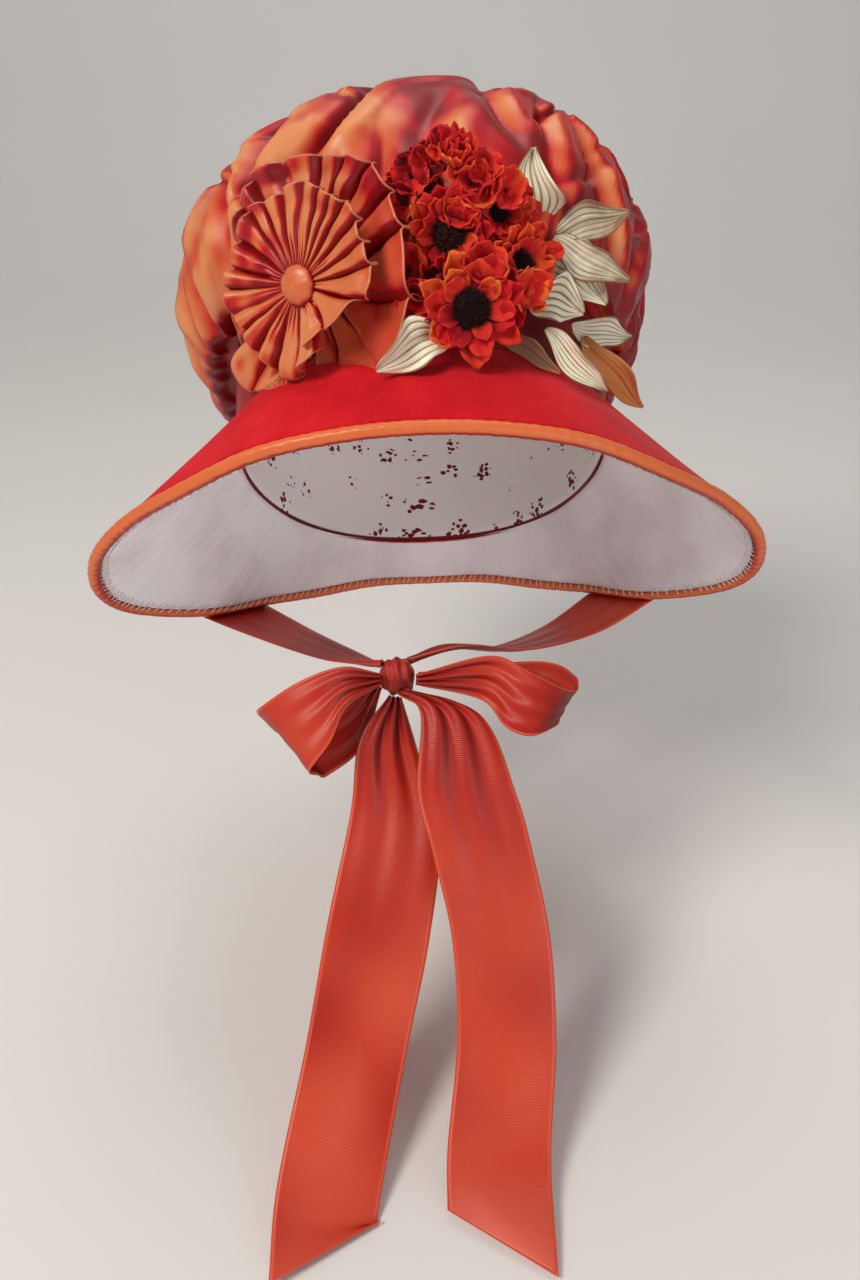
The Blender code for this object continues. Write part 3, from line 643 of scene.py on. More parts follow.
def cotton_finish(colours):
    """Plain white cotton of the brim lining, with soft pinkish-grey patches from slow noise."""
    white, = picked(colours, "lining")
    made = Finish("lining_cotton", white, 0.85, Sheen_Weight=0.1, Specular_IOR_Level=0.2)
    weave(made, made.place("UV", (1.0, 0.11, 1.0)), 380, 0.12)
    cloud = made.noise(made.place(), 26, 4)
    made.join("Base Color", made.ramp(cloud, (0.3, white * (0.84, 0.80, 0.80)), (0.6, white)))
    made.bump(made.noise(made.place(), 140, 4), 0.15, 0.0008)
    return made.material


def print_finish(colours):
    """Cotton lining of the crown, printed with small sprigs: uneven dots in clusters at scattered places."""
    white, ink = picked(colours, "print_ground", "print_ink")
    made = Finish("print_cotton", white, 0.85, Specular_IOR_Level=0.2)
    place = made.place("UV", (34.0, 8.5, 1.0))
    blur = made.add("TexNoise", {"Vector": place, "Scale": 6.0, "Detail": 2.0}).outputs["Color"]
    shift = made.add("VectorMath", {0: blur, 1: (0.14, 0.14, 0.0)}, operation="MULTIPLY").outputs[0]
    place = made.add("VectorMath", {0: place, 1: shift}, operation="ADD").outputs[0]
    middles = made.dots(place, 1.0, 0.5)
    dots = made.math("LESS_THAN", made.sum(made.dots(place, 5.5, 0.8), middles, 0.7), 0.60)
    near = made.math("LESS_THAN", middles, 0.38)
    made.join("Base Color", made.mix(made.math("MULTIPLY", dots, near), white, ink))
    weave(made, place, 40, 0.1)
    return made.material


def silk_finish(name, stops, roughness=0.34, edge=None):
    """Shot silk: its colour runs from weft to warp with a tint of the points, which carries the way the cloth
    faces and so partly painted light and shade, with fine slubs.

    An edge colour draws a thin paler line along the last row of a ruffle.
    """
    made = Finish(name, stops[1][1], roughness, Specular_IOR_Level=0.38, Anisotropic=0.45)
    place = made.place()
    slub = made.noise(made.place("Object", (1.0, 1.0, 7.0)), 210, 4)
    tone = made.sum(made.tint("tone_and_painted_light"), made.math("SUBTRACT", slub, 0.5), 0.10)
    body = made.ramp(made.sum(tone, made.cloud(place, 55, 4, 0.6), 0.18), *stops)
    if edge is not None:
        body = made.mix(made.ramp(made.uv("Y"), (0.983, 0.0), (0.99, 0.7)), body, edge)
    made.join("Base Color", body)
    made.bump(slub, 0.10, 0.0004)
    made.bump(made.noise(place, 950, 3), 0.10, 0.0002)
    polish = made.ramp(made.noise(place, 60, 3), (0.3, roughness - 0.05), (0.7, roughness + 0.09))
    made.join("Roughness", polish)
    return made.material


def ribbon_finish(colours):
    """Ribbed satin ribbon: cross ribs, lighter selvedges, and painted light and shade from a tint of the
    points, with a slow change of shade along it.
    """
    deep, mid, lit = picked(colours, "ribbon_deep", "ribbon", "ribbon_lit")
    made = Finish("ribbon_satin", mid, 0.36, Specular_IOR_Level=0.45, Anisotropic=0.4)
    edge = made.math("PINGPONG", made.uv("X"), 0.5)
    selvedge = made.ramp(edge, (0.0, 0.35), (0.012, 1.0), (0.026, 0.9), (0.045, 0.0))
    shade = made.sum(made.tint("tone_and_painted_light"), made.cloud(made.place(), 24, 3), 0.22)
    body = made.ramp(shade, (0.0, deep), (0.5, mid), (1.0, lit))
    made.join("Base Color", made.mix(selvedge, body, lit * 1.05 + 0.01))
    made.bump(made.waves(made.place("UV"), 90, "Y", 0.4, 1.0), 0.22, 0.0003)
    made.bump(made.noise(made.place(), 520, 3), 0.10, 0.0003)
    return made.material


def petal_finish(colours):
    """Cut petal cloth, crumpled and matt, from crimson through red-orange to orange."""
    dark, red, orange, gold = picked(colours, "petal_dark", "petal", "petal_orange", "petal_gold")
    made = Finish("petal_cloth", red, 0.82, Sheen_Weight=0.08, Specular_IOR_Level=0.2)
    place = made.place()
    tone = made.sum(made.tint("tint"), made.cloud(place, 130, 4), 0.55)
    made.join("Base Color", made.ramp(tone, (0.0, dark), (0.28, red), (0.72, orange), (1.0, gold)))
    made.bump(made.noise(place, 170, 5, 0.5), 0.8, 0.0016)
    return made.material


def fuzz_finish(name, low, high):
    """Dark plush fibres with lighter tips."""
    made = Finish(name, low, 0.95, Sheen_Weight=0.08, Specular_IOR_Level=0.1)
    place = made.place()
    tone = made.sum(made.tint("tint"), made.cloud(place, 300, 3), 0.4)
    made.join("Base Color", made.ramp(tone, (0.2, low), (1.0, high)))
    made.bump(made.noise(place, 1200, 3), 0.4, 0.0005)
    return made.material


def leaf_finish(colours):
    """Pleated leaf cloth: cream with grey-green stripes along the leaf, browned or orange where tinted."""
    cream, stripe, brown, orange = picked(colours, "leaf", "leaf_stripe", "leaf_brown", "leaf_orange")
    made = Finish("leaf_cloth", cream, 0.72, Sheen_Weight=0.12, Specular_IOR_Level=0.25)
    lines = made.waves(made.place("UV", (1.0, 0.10, 1.0)), 2.2, "X", 1.4, 2.0)
    patchy = made.sum(lines, made.math("SUBTRACT", made.noise(made.place(), 45, 3), 0.35), 0.9)
    striped = made.ramp(patchy, (0.14, stripe), (0.36, cream), (1.0, cream * 1.04))
    browned = made.mix(made.ramp(lines, (0.3, 0.25), (0.8, 0.75)), brown * 0.45, brown)
    warm = made.mix(made.ramp(lines, (0.3, 0.2), (0.8, 1.0)), brown, orange)
    tint = made.tint("tint")
    blotch = made.sum(tint, made.cloud(made.place(), 70, 4), 0.5)
    first = made.mix(made.ramp(blotch, (0.2, 0.0), (0.48, 1.0)), striped, browned)
    made.join("Base Color", made.mix(made.ramp(tint, (0.7, 0.0), (0.95, 1.0)), first, warm))
    made.bump(lines, 0.35, 0.0008)
    made.bump(made.noise(made.place(), 600, 3), 0.15, 0.0004)
    return made.material


def thread_finish(colours):
    """Twisted sewing thread."""
    white, = picked(colours, "lining")
    made = Finish("thread", white, 0.7, Sheen_Weight=0.2)
    twist = made.waves(made.place("Object", (1, 1, 1), (0.6, 0.4, 0.7)), 900, "X")
    made.join("Base Color", made.ramp(twist, (0.2, white * 0.7), (0.7, white)))
    made.bump(twist, 0.3, 0.0002)
    return made.material


def floor_finish(colours):
    """Plain pale floor with the faintest unevenness."""
    pale, = picked(colours, "floor")
    made = Finish("pale_floor", pale, 0.8, Specular_IOR_Level=0.2)
    made.join("Base Color", made.ramp(made.noise(made.place(), 3, 2), (0.2, pale * 0.97), (0.8, pale)))
    return made.material


def shot_stops(colours, gain=1.0):
    """The run of colours of shot silk, from shaded weft to lit warp."""
    tones = picked(colours, "silk_dark", "silk_weft", "silk_warp", "silk_gold")
    return [(place, tone * gain) for place, tone in zip((0.05, 0.36, 0.68, 0.98), tones)]


def lining_grid(shape, angle, shares):
    """The brim lining: the brim's sheet set in, with puckers that deepen toward the rim.

    A pucker is (1/2 + cos/2)^1.6 of a phase that runs round the brim, over broader waves of the same kind.
    """
    shares = shares[:, None]
    lift = -(shape.brim_wall + shape.lining_wall) / MM / 2 - LINING_GAP
    depth = shape.pucker / MM
    turn = 86 * angle + 1.3 * np.sin(3 * angle) + 0.9 * np.sin(7 * angle + 1)
    rise = depth * (0.25 + 0.75 * shares**1.5) * (0.5 + 0.5 * np.cos(turn)) ** 1.6
    broad = 0.5 * depth * (0.5 + 0.5 * np.cos(23 * angle + 2 * np.sin(2 * angle)))
    tucked = np.minimum(1.0, 12 * (1 - shares) + 0.15)
    return brim_sheet(angle, shares[:, 0], lift - (rise + broad * shares) * tucked)


def binding_grid(shape, angle, turn):
    """The binding: an oval tube of silk round the rim, whose radius waves in slanting wrinkles."""
    turn = turn[:, None]
    lift = -(shape.brim_wall + 2 * shape.lining_wall) / MM / 2 - LINING_GAP
    _, end, down, out = brim_frame(angle)
    middle = end - BINDING_REACH * down + out * (shape.brim_wall / MM / 2 + lift) / 2
    wave = np.sin(150 * angle + 3 * np.sin(5 * angle) + 1.5 * turn) + 0.6 * np.sin(67 * angle + 2.0 * turn)
    size = 0.955 + 0.028 * wave
    return middle + ((np.cos(turn) * size * BINDING_REACH)[..., None] * down
                     + (np.sin(turn) * size * BINDING_SWELL)[..., None] * out)


def every_fold():
    """The large folds and after them the small ones, which a seeded draw strews over the puff."""
    rng = np.random.default_rng(31)
    low = rng.uniform(55, 110, SMALL_FOLDS)
    place = rng.uniform(-180, 180, SMALL_FOLDS)
    lean = rng.uniform(-22, 22, SMALL_FOLDS)
    run = rng.uniform(26, 60, SMALL_FOLDS)
    depth = rng.uniform(1.8, 4.2, SMALL_FOLDS)
    width = rng.uniform(3.6, 6.5, SMALL_FOLDS)
    return [*FOLDS, *zip(place + lean, low + run, place, low, depth, width)]


def fold_dent(fold, angle, height, reach, bend):
    """How far one fold dents the puff at each point, less a swelling beside it.

    The dent is Gaussian across a bent run of angle and height, and fades in and out at the run's ends.
    """
    upper_angle, upper, lower_angle, lower, depth, width = fold
    share = np.clip((height - lower) / (upper - lower), -0.3, 1.3)
    line = lower_angle + (upper_angle - lower_angle) * share
    line = line + 4.0 * np.sin(3.1 * share + upper_angle) + 40 * bend
    away = np.radians((np.degrees(angle) - line + 180) % 360 - 180) * reach
    ends = smooth_step(-0.3, 0.15, share) * (1 - smooth_step(0.85, 1.3, share))
    beside = np.exp(-((away - 2.1 * width) / (1.3 * width)) ** 2)
    return depth * ends * (np.exp(-(away / width) ** 2) - 0.45 * beside)


def crown_grid(shape, columns, rows):
    """The puffed crown: ovals up the axis, drawn in by gathers at the band and by long soft folds.

    A gather is 1 - |sin|^0.6 of its phase, so that ridges are round and valleys are sharp, and fades upward
    as a Gaussian. Also gives how far each point is moved in or out.
    """
    angle = ring_angles(columns)
    table = smooth_rows(CROWN, rows)
    height, half_width, half_length, shift, lean = (table[:, k, None] for k in range(5))
    steps = np.linspace(0, len(CROWN) - 1, rows)[:, None]
    power = OPENING_POWER + (CROWN_POWER - OPENING_POWER) * smooth_step(0.5, 2.0, steps)
    sheet = oval(angle, half_width, half_length, height, shift, lean, power)
    middle = lean[..., None] * SIDE_AXIS + shift[..., None] * LONG_AXIS + height[..., None] * UP_AXIS
    bend = 0.05 * ripple(sheet, 80, 11) * smooth_step(0.5, 3, steps)
    phase = shape.gathers * (angle + bend + 0.09 * np.sin(3 * angle + 0.6) + 0.05 * np.sin(7 * angle + 2))
    valley = 1 - np.abs(np.sin(phase / 2)) ** 0.6
    fine = 1 - np.abs(np.sin(1.5 * phase + 0.8 * np.sin(5 * angle))) ** 0.8
    uneven = 0.8 + 0.4 * np.sin(5 * angle + 1) + 0.35 * np.sin(11 * angle) * np.sin(3 * angle)
    reached = 0.7 + 0.9 * np.sin(4 * angle + 2) + 0.8 * np.sin(9 * angle + 1)
    fade = np.exp(-np.maximum(steps - 2.0 - reached, 0) ** 2 / 1.6)
    change = -shape.gather_depth / MM * uneven * valley * fade
    change -= 1.5 * fine * np.exp(-np.maximum(steps - 2, 0) ** 2 / 2.2)
    under_top = 1 - smooth_step(8.5, 9.6, steps)
    for fold in every_fold():
        change -= fold_dent(fold, angle, height, half_width, bend) * under_top
    change += 2.0 * ripple(sheet, 74, 4) * smooth_step(1, 4, steps)
    change = np.clip(change, *PUFF_CHANGE) * smooth_step(0.2, 2.2, steps)
    return sheet + change[..., None] * unit(sheet - middle), change


def crown_lining_grid(columns, rows):
    """The crown lining: ovals up the axis with small tucks, 1 + cos of the angle, that run to the top."""
    angle = ring_angles(columns)
    table = smooth_rows(CROWN_LINING, rows)
    height, half_width, half_length = (table[:, k, None] for k in range(3))
    tuck = 1 - 0.006 * (1 + np.cos(40 * angle + np.sin(3 * angle))) * smooth_step(20, 100, height)
    return oval(angle[None] + 0 * height, half_width * tuck, half_length * tuck, height)


def brim_top(points):
    """The brim's height under each point: that of the nearest point of its upper face, seen from above."""
    front = np.radians(np.linspace(-80, 80, 161))
    face = brim_sheet(front, np.linspace(0, 1.05, 41), BRIM_FACE).reshape(-1, 3)
    found = np.empty(len(points))
    for part in np.array_split(np.arange(len(points)), max(1, len(points) // LOOK_UP)):
        apart = ((points[part, None, :2] - face[None, :, :2]) ** 2).sum(axis=2)
        nearest = apart.argmin(axis=1)
        close = apart[np.arange(len(part)), nearest] < BRIM_NEAR**2
        found[part] = np.where(close, face[nearest, 2], NO_BRIM)
    return found


def rest_on_brim(points):
    """Moves low points out to clear the band, then up to clear the top of the brim."""
    flat = points.reshape(-1, 3).copy()
    along, height = flat @ LONG_AXIS, flat @ UP_AXIS
    size = (np.abs(flat[:, 0]) / OPENING_HALF[0]) ** (2 / OPENING_POWER) + (along / OPENING_HALF[1]) ** 2
    low = (height < COCKADE_LOW) & (size < COCKADE_CLEAR**2)
    grow = np.where(low, COCKADE_CLEAR / np.sqrt(np.maximum(size, 0.01)), 1.0) - 1
    flat += (flat[:, :1] * grow[:, None]) * SIDE_AXIS + (along * grow)[:, None] * LONG_AXIS
    flat[:, 2] = np.maximum(flat[:, 2], brim_top(flat) + COCKADE_REST)
    return flat.reshape(points.shape)


def turned(angle, middle, width):
    """1 at the middle angle, falling off over the width on both sides."""
    apart = (angle - middle + math.pi) % (2 * math.pi) - math.pi
    return np.exp(-(apart / width) ** 2)


def per_pleat(draws, phase):
    """A value drawn for each pleat, blended from the middle of each pleat to the next one's."""
    number = np.arange(-1, len(draws) + 1)
    return np.interp(phase / (2 * math.pi), number + 0.5, np.take(draws, number, mode="wrap"))


def ruffle(spokes, inner, outer, lifts, wave, sway, bays, rows, seed):
    """A ruched ring in its own plane.

    Each pleat has its own width and height, and they are widest at the folded side. It lifts as the sine
    of its phase and sways sideways as the cosine, like a trochoid, so that there it folds over its neighbour.
    Tight gathers by the button die away along the radius.
    """
    angle = ring_angles(RUFFLE_COLUMNS)[None]
    share = np.linspace(0, 1, rows)[:, None]
    rng = np.random.default_rng(seed)
    width = rng.uniform(0.65, 1.4, spokes) * (1 + 0.9 * turned(ring_angles(spokes), FOLDED_SIDE, 0.8))
    marks = np.concatenate([[0], np.cumsum(width)]) / width.sum() * 2 * math.pi
    phase = np.interp(angle, marks, 2 * math.pi * np.arange(spokes + 1))
    size = per_pleat(rng.uniform(0.35, 1.25, spokes), phase)
    reach = per_pleat(rng.uniform(-1, 1, spokes), phase)
    start = rng.uniform(0, 2 * math.pi, 6)
    drift = 1.3 * np.sin(2 * angle + start[0]) + 1.2 * np.sin(3 * angle + start[1] + 2 * share)
    phase = phase + share * drift
    tight = TIGHT_GATHERS * angle + 2.2 * np.sin(3 * angle + start[2]) + 1.6 * np.sin(7 * angle + start[3])
    side = turned(angle, FOLDED_SIDE, 0.9)
    broad = share**0.9 * size * (0.75 + 0.9 * side)
    close = np.exp(-((share - 0.14) / 0.34) ** 2) * (0.7 + 0.4 * np.sin(5 * angle + start[4]))
    lift = lifts[0] + (lifts[1] - lifts[0]) * share + 3.0 * side * share**2
    lift = lift + wave * broad * (np.sin(phase) + 0.28 * np.sin(2 * phase + 1.1))
    lift = lift + 0.11 * wave * close * np.sin(tight) + 1.6 * share**2 * np.sin(3 * angle + start[5])
    around = np.stack([share * np.cos(angle), share * np.sin(angle)], axis=-1) * outer
    lift = lift + 0.22 * wave * share * ripple(around, 17, seed + 3)
    folded_over = sway * (0.5 + 1.0 * side) * broad * np.cos(phase) / spokes
    turn = angle - folded_over - 0.4 * close * np.cos(tight) / TIGHT_GATHERS
    edge = 1 + 0.07 * reach + sum(by * turned(angle, middle, wide) for middle, wide, by in bays)
    radius = inner + (outer * edge - inner) * share
    return np.stack([radius * np.cos(turn), radius * np.sin(turn), lift], axis=-1)


def dome_grid(radius, height, columns, rows):
    """Rings of a dome: radius times cosine, height times sine of the share of a quarter turn."""
    angle = ring_angles(columns)[None]
    rise = np.linspace(0, 0.97, rows)[:, None] * math.pi / 2
    ring = radius * np.cos(rise)
    return np.stack([ring * np.cos(angle), ring * np.sin(angle), height * np.sin(rise) + 0 * angle], axis=-1)


def petal_patches(count, hub, length, half_width, lean, seed, rows=9):
    """Petals round a hub, each a blade whose lean runs from first to last along its length.

    The blade's line is the running sum of (cos lean, sin lean); its half width is sin(pi(0.09 + 0.78u))^0.55
    with a ruffled, cupped edge; each petal gets its own turn, length and ripple.
    """
    rng = np.random.default_rng(seed)
    u = np.linspace(0, 1, rows)[None, :, None]
    v = np.linspace(-1, 1, PETAL_COLUMNS)[None, None, :]

    def each(low, high):
        """One even draw between two limits for each piece."""
        return rng.uniform(low, high, (count, 1, 1))

    reach = length * each(0.82, 1.12)
    first, last = np.radians(lean[0]) * each(0.4, 1.3), np.radians(lean[1]) * each(0.7, 1.25)
    slope = first + (last - first) * u**1.4
    step = reach / (rows - 1)
    out = hub + np.cumsum(np.cos(slope) * step, axis=1) - np.cos(first) * step
    rise = np.cumsum(np.sin(slope) * step, axis=1) - np.sin(first) * step
    width = half_width * each(0.85, 1.2) * np.sin(math.pi * (0.09 + 0.78 * u)) ** 0.55
    ruffled = 0.30 * u * np.sin(5 * v + each(0, 6)) + 0.14 * np.sin(9 * u + each(0, 6))
    rise = rise + width * (0.34 * v**2 + ruffled)
    out = out - 0.16 * reach * u**3 * v**2 * np.cos(slope) + 0.04 * reach * u * np.sin(4.3 * v + each(0, 6))
    side = width * v
    turn = (np.arange(count).reshape(-1, 1, 1) + each(-0.18, 0.18)) * 2 * math.pi / count + rng.uniform(0, 6)
    across = out * np.cos(turn) - side * np.sin(turn)
    return np.stack([across, out * np.sin(turn) + side * np.cos(turn), rise], axis=-1)


def petal_tints(patches, low, high, seed):
    """A tint for each petal, lighter toward its edge."""
    count, rows, columns = patches.shape[:3]
    rng = np.random.default_rng(seed)
    base = rng.uniform(low, high, (count, 1, 1))
    u = np.linspace(0, 1, rows)[None, :, None]
    v = np.linspace(-1, 1, columns)[None, None, :]
    return base + 0.12 * np.maximum(u**3, np.abs(v) ** 4) - 0.16 * (1 - u)


def fibre_patches(radius, height, count, length, seed):
    """Short three-sided fibres that stand out of a dome, thin to a point."""
    rng = np.random.default_rng(seed)
    turn = rng.uniform(0, 2 * math.pi, count)
    rise = np.arcsin(rng.uniform(0.02, 1, count))
    way = np.stack([np.cos(turn) * np.cos(rise), np.sin(turn) * np.cos(rise), np.sin(rise)], axis=1)
    root = way * np.array([radius, radius, height]) * 0.94
    bent = unit(way + rng.normal(size=(count, 3)) * 0.35)
    side = unit(np.cross(bent, [0.3, 0.2, 0.9]))
    other = np.cross(bent, side)
    corner = ring_angles(3)
    spread = np.cos(corner)[:, None, None] * side + np.sin(corner)[:, None, None] * other
    reach = bent * (rng.uniform(0.6, 1.2, (count, 1)) * length)
    rows = [root + spread * 0.15, root + reach * 0.6 + spread * 0.11, root + reach + spread * 0.02]
    return np.transpose(np.stack(rows), (2, 0, 1, 3))


def leaf_grid(row):
    """A pointed leaf: its width is the sine of its length, ribbed, with edges that curl up and ripple.

    Across it a point lies at (sin cv, 1 - cos cv) / c, a circle of curl c, over ribs that are cosines.
    """
    _, bx, by, bz, tx, ty, tz, half_width, arch, twist, _, curl = row
    base, tip = np.array([bx, by, bz], dtype=float), np.array([tx, ty, tz], dtype=float)
    along = unit(tip - base)
    side = unit(np.cross(along, -LAY_ON))
    lift = unit(np.cross(side, along))
    u = np.linspace(0, 1, LEAF_ROWS)[:, None, None]
    v = np.linspace(-1, 1, LEAF_COLUMNS)[None, :, None]
    pointed = 0.05 + 0.95 * np.sin(math.pi * (0.04 + 0.95 * u**0.85)) ** 0.9
    width = half_width * pointed * (1 + 0.10 * np.sin(9 * u + bz) * np.sign(v))
    turn = np.radians(twist) * (u - 0.2) * 1.3
    across = side * np.cos(turn) + lift * np.sin(turn)
    up = lift * np.cos(turn) - side * np.sin(turn)
    roll = curl * 1.5
    flat = np.sin(v * roll) / roll
    rise = (1 - np.cos(v * roll)) / roll - 0.22 * np.exp(-(v / 0.12) ** 2)
    pleats = 0.055 * np.cos(9 * math.pi * v + 1.5 * np.sin(4 * u + bx)) * (1 - np.abs(v)) ** 0.3
    edge = 0.34 * np.abs(v) ** 3 * np.sin(9 * u + 2 * v + bx) + 0.12 * np.sin(5 * u + bz) * v
    hooked = 0.5 * half_width * curl * u**5 * math.sin(bx)
    sway = 0.22 * half_width * np.sin(2 * math.pi * u + bz) * (1 - u) + hooked
    arched = arch * np.sin(math.pi * u) + 0.5 * half_width * u**6
    spine = base + (tip - base) * u + lift * arched + side * sway
    return spine + across * width * flat + up * width * (rise + pleats + edge)


def knot_row(toward_a, toward_b, clear, columns):
    """A row of ribbon that ends on the knot's oval, from one way to another.

    Each way is divided by its length in units of the oval's half sizes, so that it ends on the oval.
    """
    share = np.linspace(0, 1, columns)[:, None]
    way = unit(np.array(toward_a) * (1 - share) + np.array(toward_b) * share)
    return KNOT_MIDDLE + way / np.linalg.norm(way / (KNOT_HALF + clear), axis=1, keepdims=True)


def ruled(table, columns):
    """Rows of points straight across a ribbon, from its two edges."""
    share = np.linspace(0, 1, columns)[None, :, None]
    table = np.array(table, dtype=float)
    return list(table[:, None, :3] * (1 - share) + table[:, None, 3:] * share)


def tie_on_brim(shape, side, columns):
    """The tie's rows down the outside of the brim, then on an arc round and under the binding."""
    angle = np.radians(np.linspace(side * TIE_ANGLES[0], side * TIE_ANGLES[1], columns))
    wall = shape.ribbon_wall / MM
    clear = shape.brim_wall / MM / 2 + 2 * GAP + wall / 2
    rows = list(brim_sheet(angle, np.array([TIE_START, 0.5, 0.85]), clear))
    _, end, down, out = brim_frame(angle)
    radius = BINDING_SWELL + 3 * GAP + wall
    for across in np.radians([20, 55, 90]):
        rows.append(end - BINDING_REACH * down + radius * (math.cos(across) * out + math.sin(across) * down))
    return rows


def ribbon_grid(rows, count, pleats, swell, seed):
    """A ribbon through rows of points, with lengthwise pleats near a knotted end and a slow ripple.

    Pleats are (depth at the first row, depth at the last row, number); they die away along the ribbon.
    """
    grid = smooth_rows(np.array(rows), count)
    u = np.linspace(0, 1, count)[:, None]
    v = np.linspace(0, 1, grid.shape[1])[None]
    depth = pleats[0] * np.exp(-((u / 0.30) ** 2)) + pleats[1] * np.exp(-(((1 - u) / 0.30) ** 2))
    rise = depth * np.sin(2 * math.pi * pleats[2] * v + 0.8 * np.sin(3 * u)) * np.sin(math.pi * v) ** 0.3
    flow = np.stack([u * 4 + 0 * v, v * 1.2 + 0 * u], axis=-1)
    free = np.minimum(1, 8 * np.minimum(u, 1 - u))
    rise = rise + swell * ripple(flow, 1.6, seed) * free
    return grid + grid_normals(grid) * rise[..., None]


def ribbon_tone(grid, seed):
    """Painted light and shade for each point of the ribbon: lighter by the way it faces, with a slow drift,
    and a painted shade toward the knot.
    """
    lit = np.abs(grid_normals(grid) @ unit(RIBBON_WAY))
    # painted shade that deepens toward the knot
    near = np.exp(-(np.linalg.norm(grid - KNOT_MIDDLE, axis=-1) / 75) ** 2)
    return np.clip(0.12 + 0.72 * lit + 0.22 * ripple(grid, 70, seed) - 0.38 * near, 0, 1)


def knot_grid(columns, rows):
    """The knot: an oval pinched at its waist, with the creases of a wrapped ribbon over its front."""
    angle = ring_angles(columns)[None]
    rise = np.linspace(-0.97, 0.97, rows)[:, None] * math.pi / 2
    ring = np.cos(rise)
    way = np.stack([ring * np.cos(angle), ring * np.sin(angle), np.sin(rise) + 0 * angle], axis=-1)
    lines = np.sin(12 * way[..., 0] + 1.6 * way[..., 2] + 0.5)
    pinch = 1 - 0.10 * np.exp(-(way[..., 2] / 0.35) ** 2)
    size = (0.95 + 0.055 * lines) * pinch
    return KNOT_MIDDLE + way * KNOT_HALF * size[..., None]


def length_property(name, description, metres):
    """A length with its default in metres."""
    return bpy.props.FloatProperty(name=name, description=description, default=metres, unit="LENGTH")


def count_property(name, description, count, least, most):
    """A whole number with its default and its limits."""
    return bpy.props.IntProperty(name=name, description=description, default=count, min=least, max=most)


class BonnetShape(bpy.types.PropertyGroup):
    """Sizes of the bonnet's cloth that a user would change."""

    brim_wall: length_property("Brim thickness", "Thickness of the felt", 0.0024)
    lining_wall: length_property("Lining thickness", "Room that the cotton linings take up", 0.001)
    silk_wall: length_property("Silk thickness", "Thickness of the silk with its backing", 0.0011)
    ruffle_wall: length_property("Ruffle thickness", "Thickness of the folded edges of the cockade", 0.0007)
    ribbon_wall: length_property("Ribbon thickness", "Room that the ribbon takes up", 0.001)
    petal_wall: length_property("Petal thickness", "Thickness of petals and leaves", 0.0006)
    pucker: length_property("Pucker depth", "Depth of the lining's puckers at the rim", 0.0009)
    gather_depth: length_property("Gather depth", "Depth of the crown's gathers at the band", 0.0062)
    gathers: count_property("Gathers", "Number of gathers round the crown", 34, 6, 90)
    inner_pleats: count_property("Inner pleats", "Pleats in the cockade's front tier", 21, 8, 80)
    outer_pleats: count_property("Outer pleats", "Pleats in the cockade's back tier", 18, 6, 60)
    stitches: count_property("Stitches", "Stitches that hold the lining to the binding", 210, 20, 400)
    fibres: count_property("Fibres", "Fibres on each fuzzy flower middle", 420, 50, 900)


def colour_property(name, description, *screen):
    """A colour with its default given as a screen colour."""
    return bpy.props.FloatVectorProperty(name=name, description=description, default=srgb(*screen),
                                         subtype="COLOR", min=0.0, max=1.0)


class BonnetColours(bpy.types.PropertyGroup):
    """Colours of the bonnet's cloths."""

    felt: colour_property("Felt", "Wool felt of the brim", 210, 14, 30)
    binding: colour_property("Binding", "Lit side of the piped edge", 226, 112, 58)
    binding_shade: colour_property("Binding shade", "Shaded side of the piped edge", 176, 32, 26)
    lining: colour_property("Lining", "Cotton of the brim lining", 246, 240, 243)
    band: colour_property("Band", "Silk of the side band", 150, 16, 26)
    band_lit: colour_property("Band lit", "Lit side of the band's silk", 196, 40, 40)
    # The shot silk's darkest colour is a painted shade and its gold a painted highlight, with weft and warp
    # between them
    silk_dark: colour_property("Silk dark", "Deep shade of the shot silk", 142, 14, 20)
    silk_weft: colour_property("Silk weft", "Weft of the shot silk", 196, 26, 34)
    silk_warp: colour_property("Silk warp", "Warp of the shot silk", 214, 94, 54)
    silk_gold: colour_property("Silk gold", "Brightest side of the shot silk", 228, 144, 92)
    silk_edge: colour_property("Silk edge", "Pale cut edge of the ruffles", 222, 138, 104)
    ribbon_deep: colour_property("Ribbon deep", "Shaded ribbon", 126, 18, 10)
    ribbon: colour_property("Ribbon", "Ribbon satin", 190, 40, 22)
    ribbon_lit: colour_property("Ribbon lit", "Lit ribbon", 220, 78, 46)
    print_ground: colour_property("Print ground", "Ground of the printed lining", 238, 232, 230)
    print_ink: colour_property("Print ink", "Sprigs of the printed lining", 112, 26, 44)
    petal_dark: colour_property("Petal dark", "Shaded petals", 96, 6, 16)
    petal: colour_property("Petal", "Crimson petals", 208, 20, 34)
    petal_orange: colour_property("Petal orange", "Red-orange petals", 226, 60, 36)
    petal_gold: colour_property("Petal gold", "Orange petals and petal edges", 238, 116, 48)
    fuzz: colour_property("Fuzz", "Dark flower middles", 46, 16, 20)
    fuzz_brown: colour_property("Fuzz brown", "Brown-green flower middle", 104, 72, 30)
    leaf: colour_property("Leaf", "Cream leaf cloth", 252, 246, 218)
    leaf_stripe: colour_property("Leaf stripe", "Grey-green stripes", 156, 152, 116)
    leaf_brown: colour_property("Leaf brown", "Browned leaves", 178, 136, 104)
    leaf_orange: colour_property("Leaf orange", "Orange leaf", 226, 128, 44)
    floor: colour_property("Floor", "Pale floor", 238, 236, 232)


class Maker:
    """What every operator here shares: it reads the sizes and colours of the scene."""

    bl_options = {"REGISTER", "UNDO"}

    @staticmethod
    def given(context):
        """The sizes and the colours."""
        return context.scene.bonnet_shape, context.scene.bonnet_colours


def standing(place, right, up):
    """A matrix at a place in metres, with its X to the right, its Y up and its -Z looking ahead."""
    turn = np.eye(4)
    turn[:3, :3] = np.stack([right, up, np.cross(right, up)], axis=1)
    turn[:3, 3] = place
    return Matrix(turn.tolist())


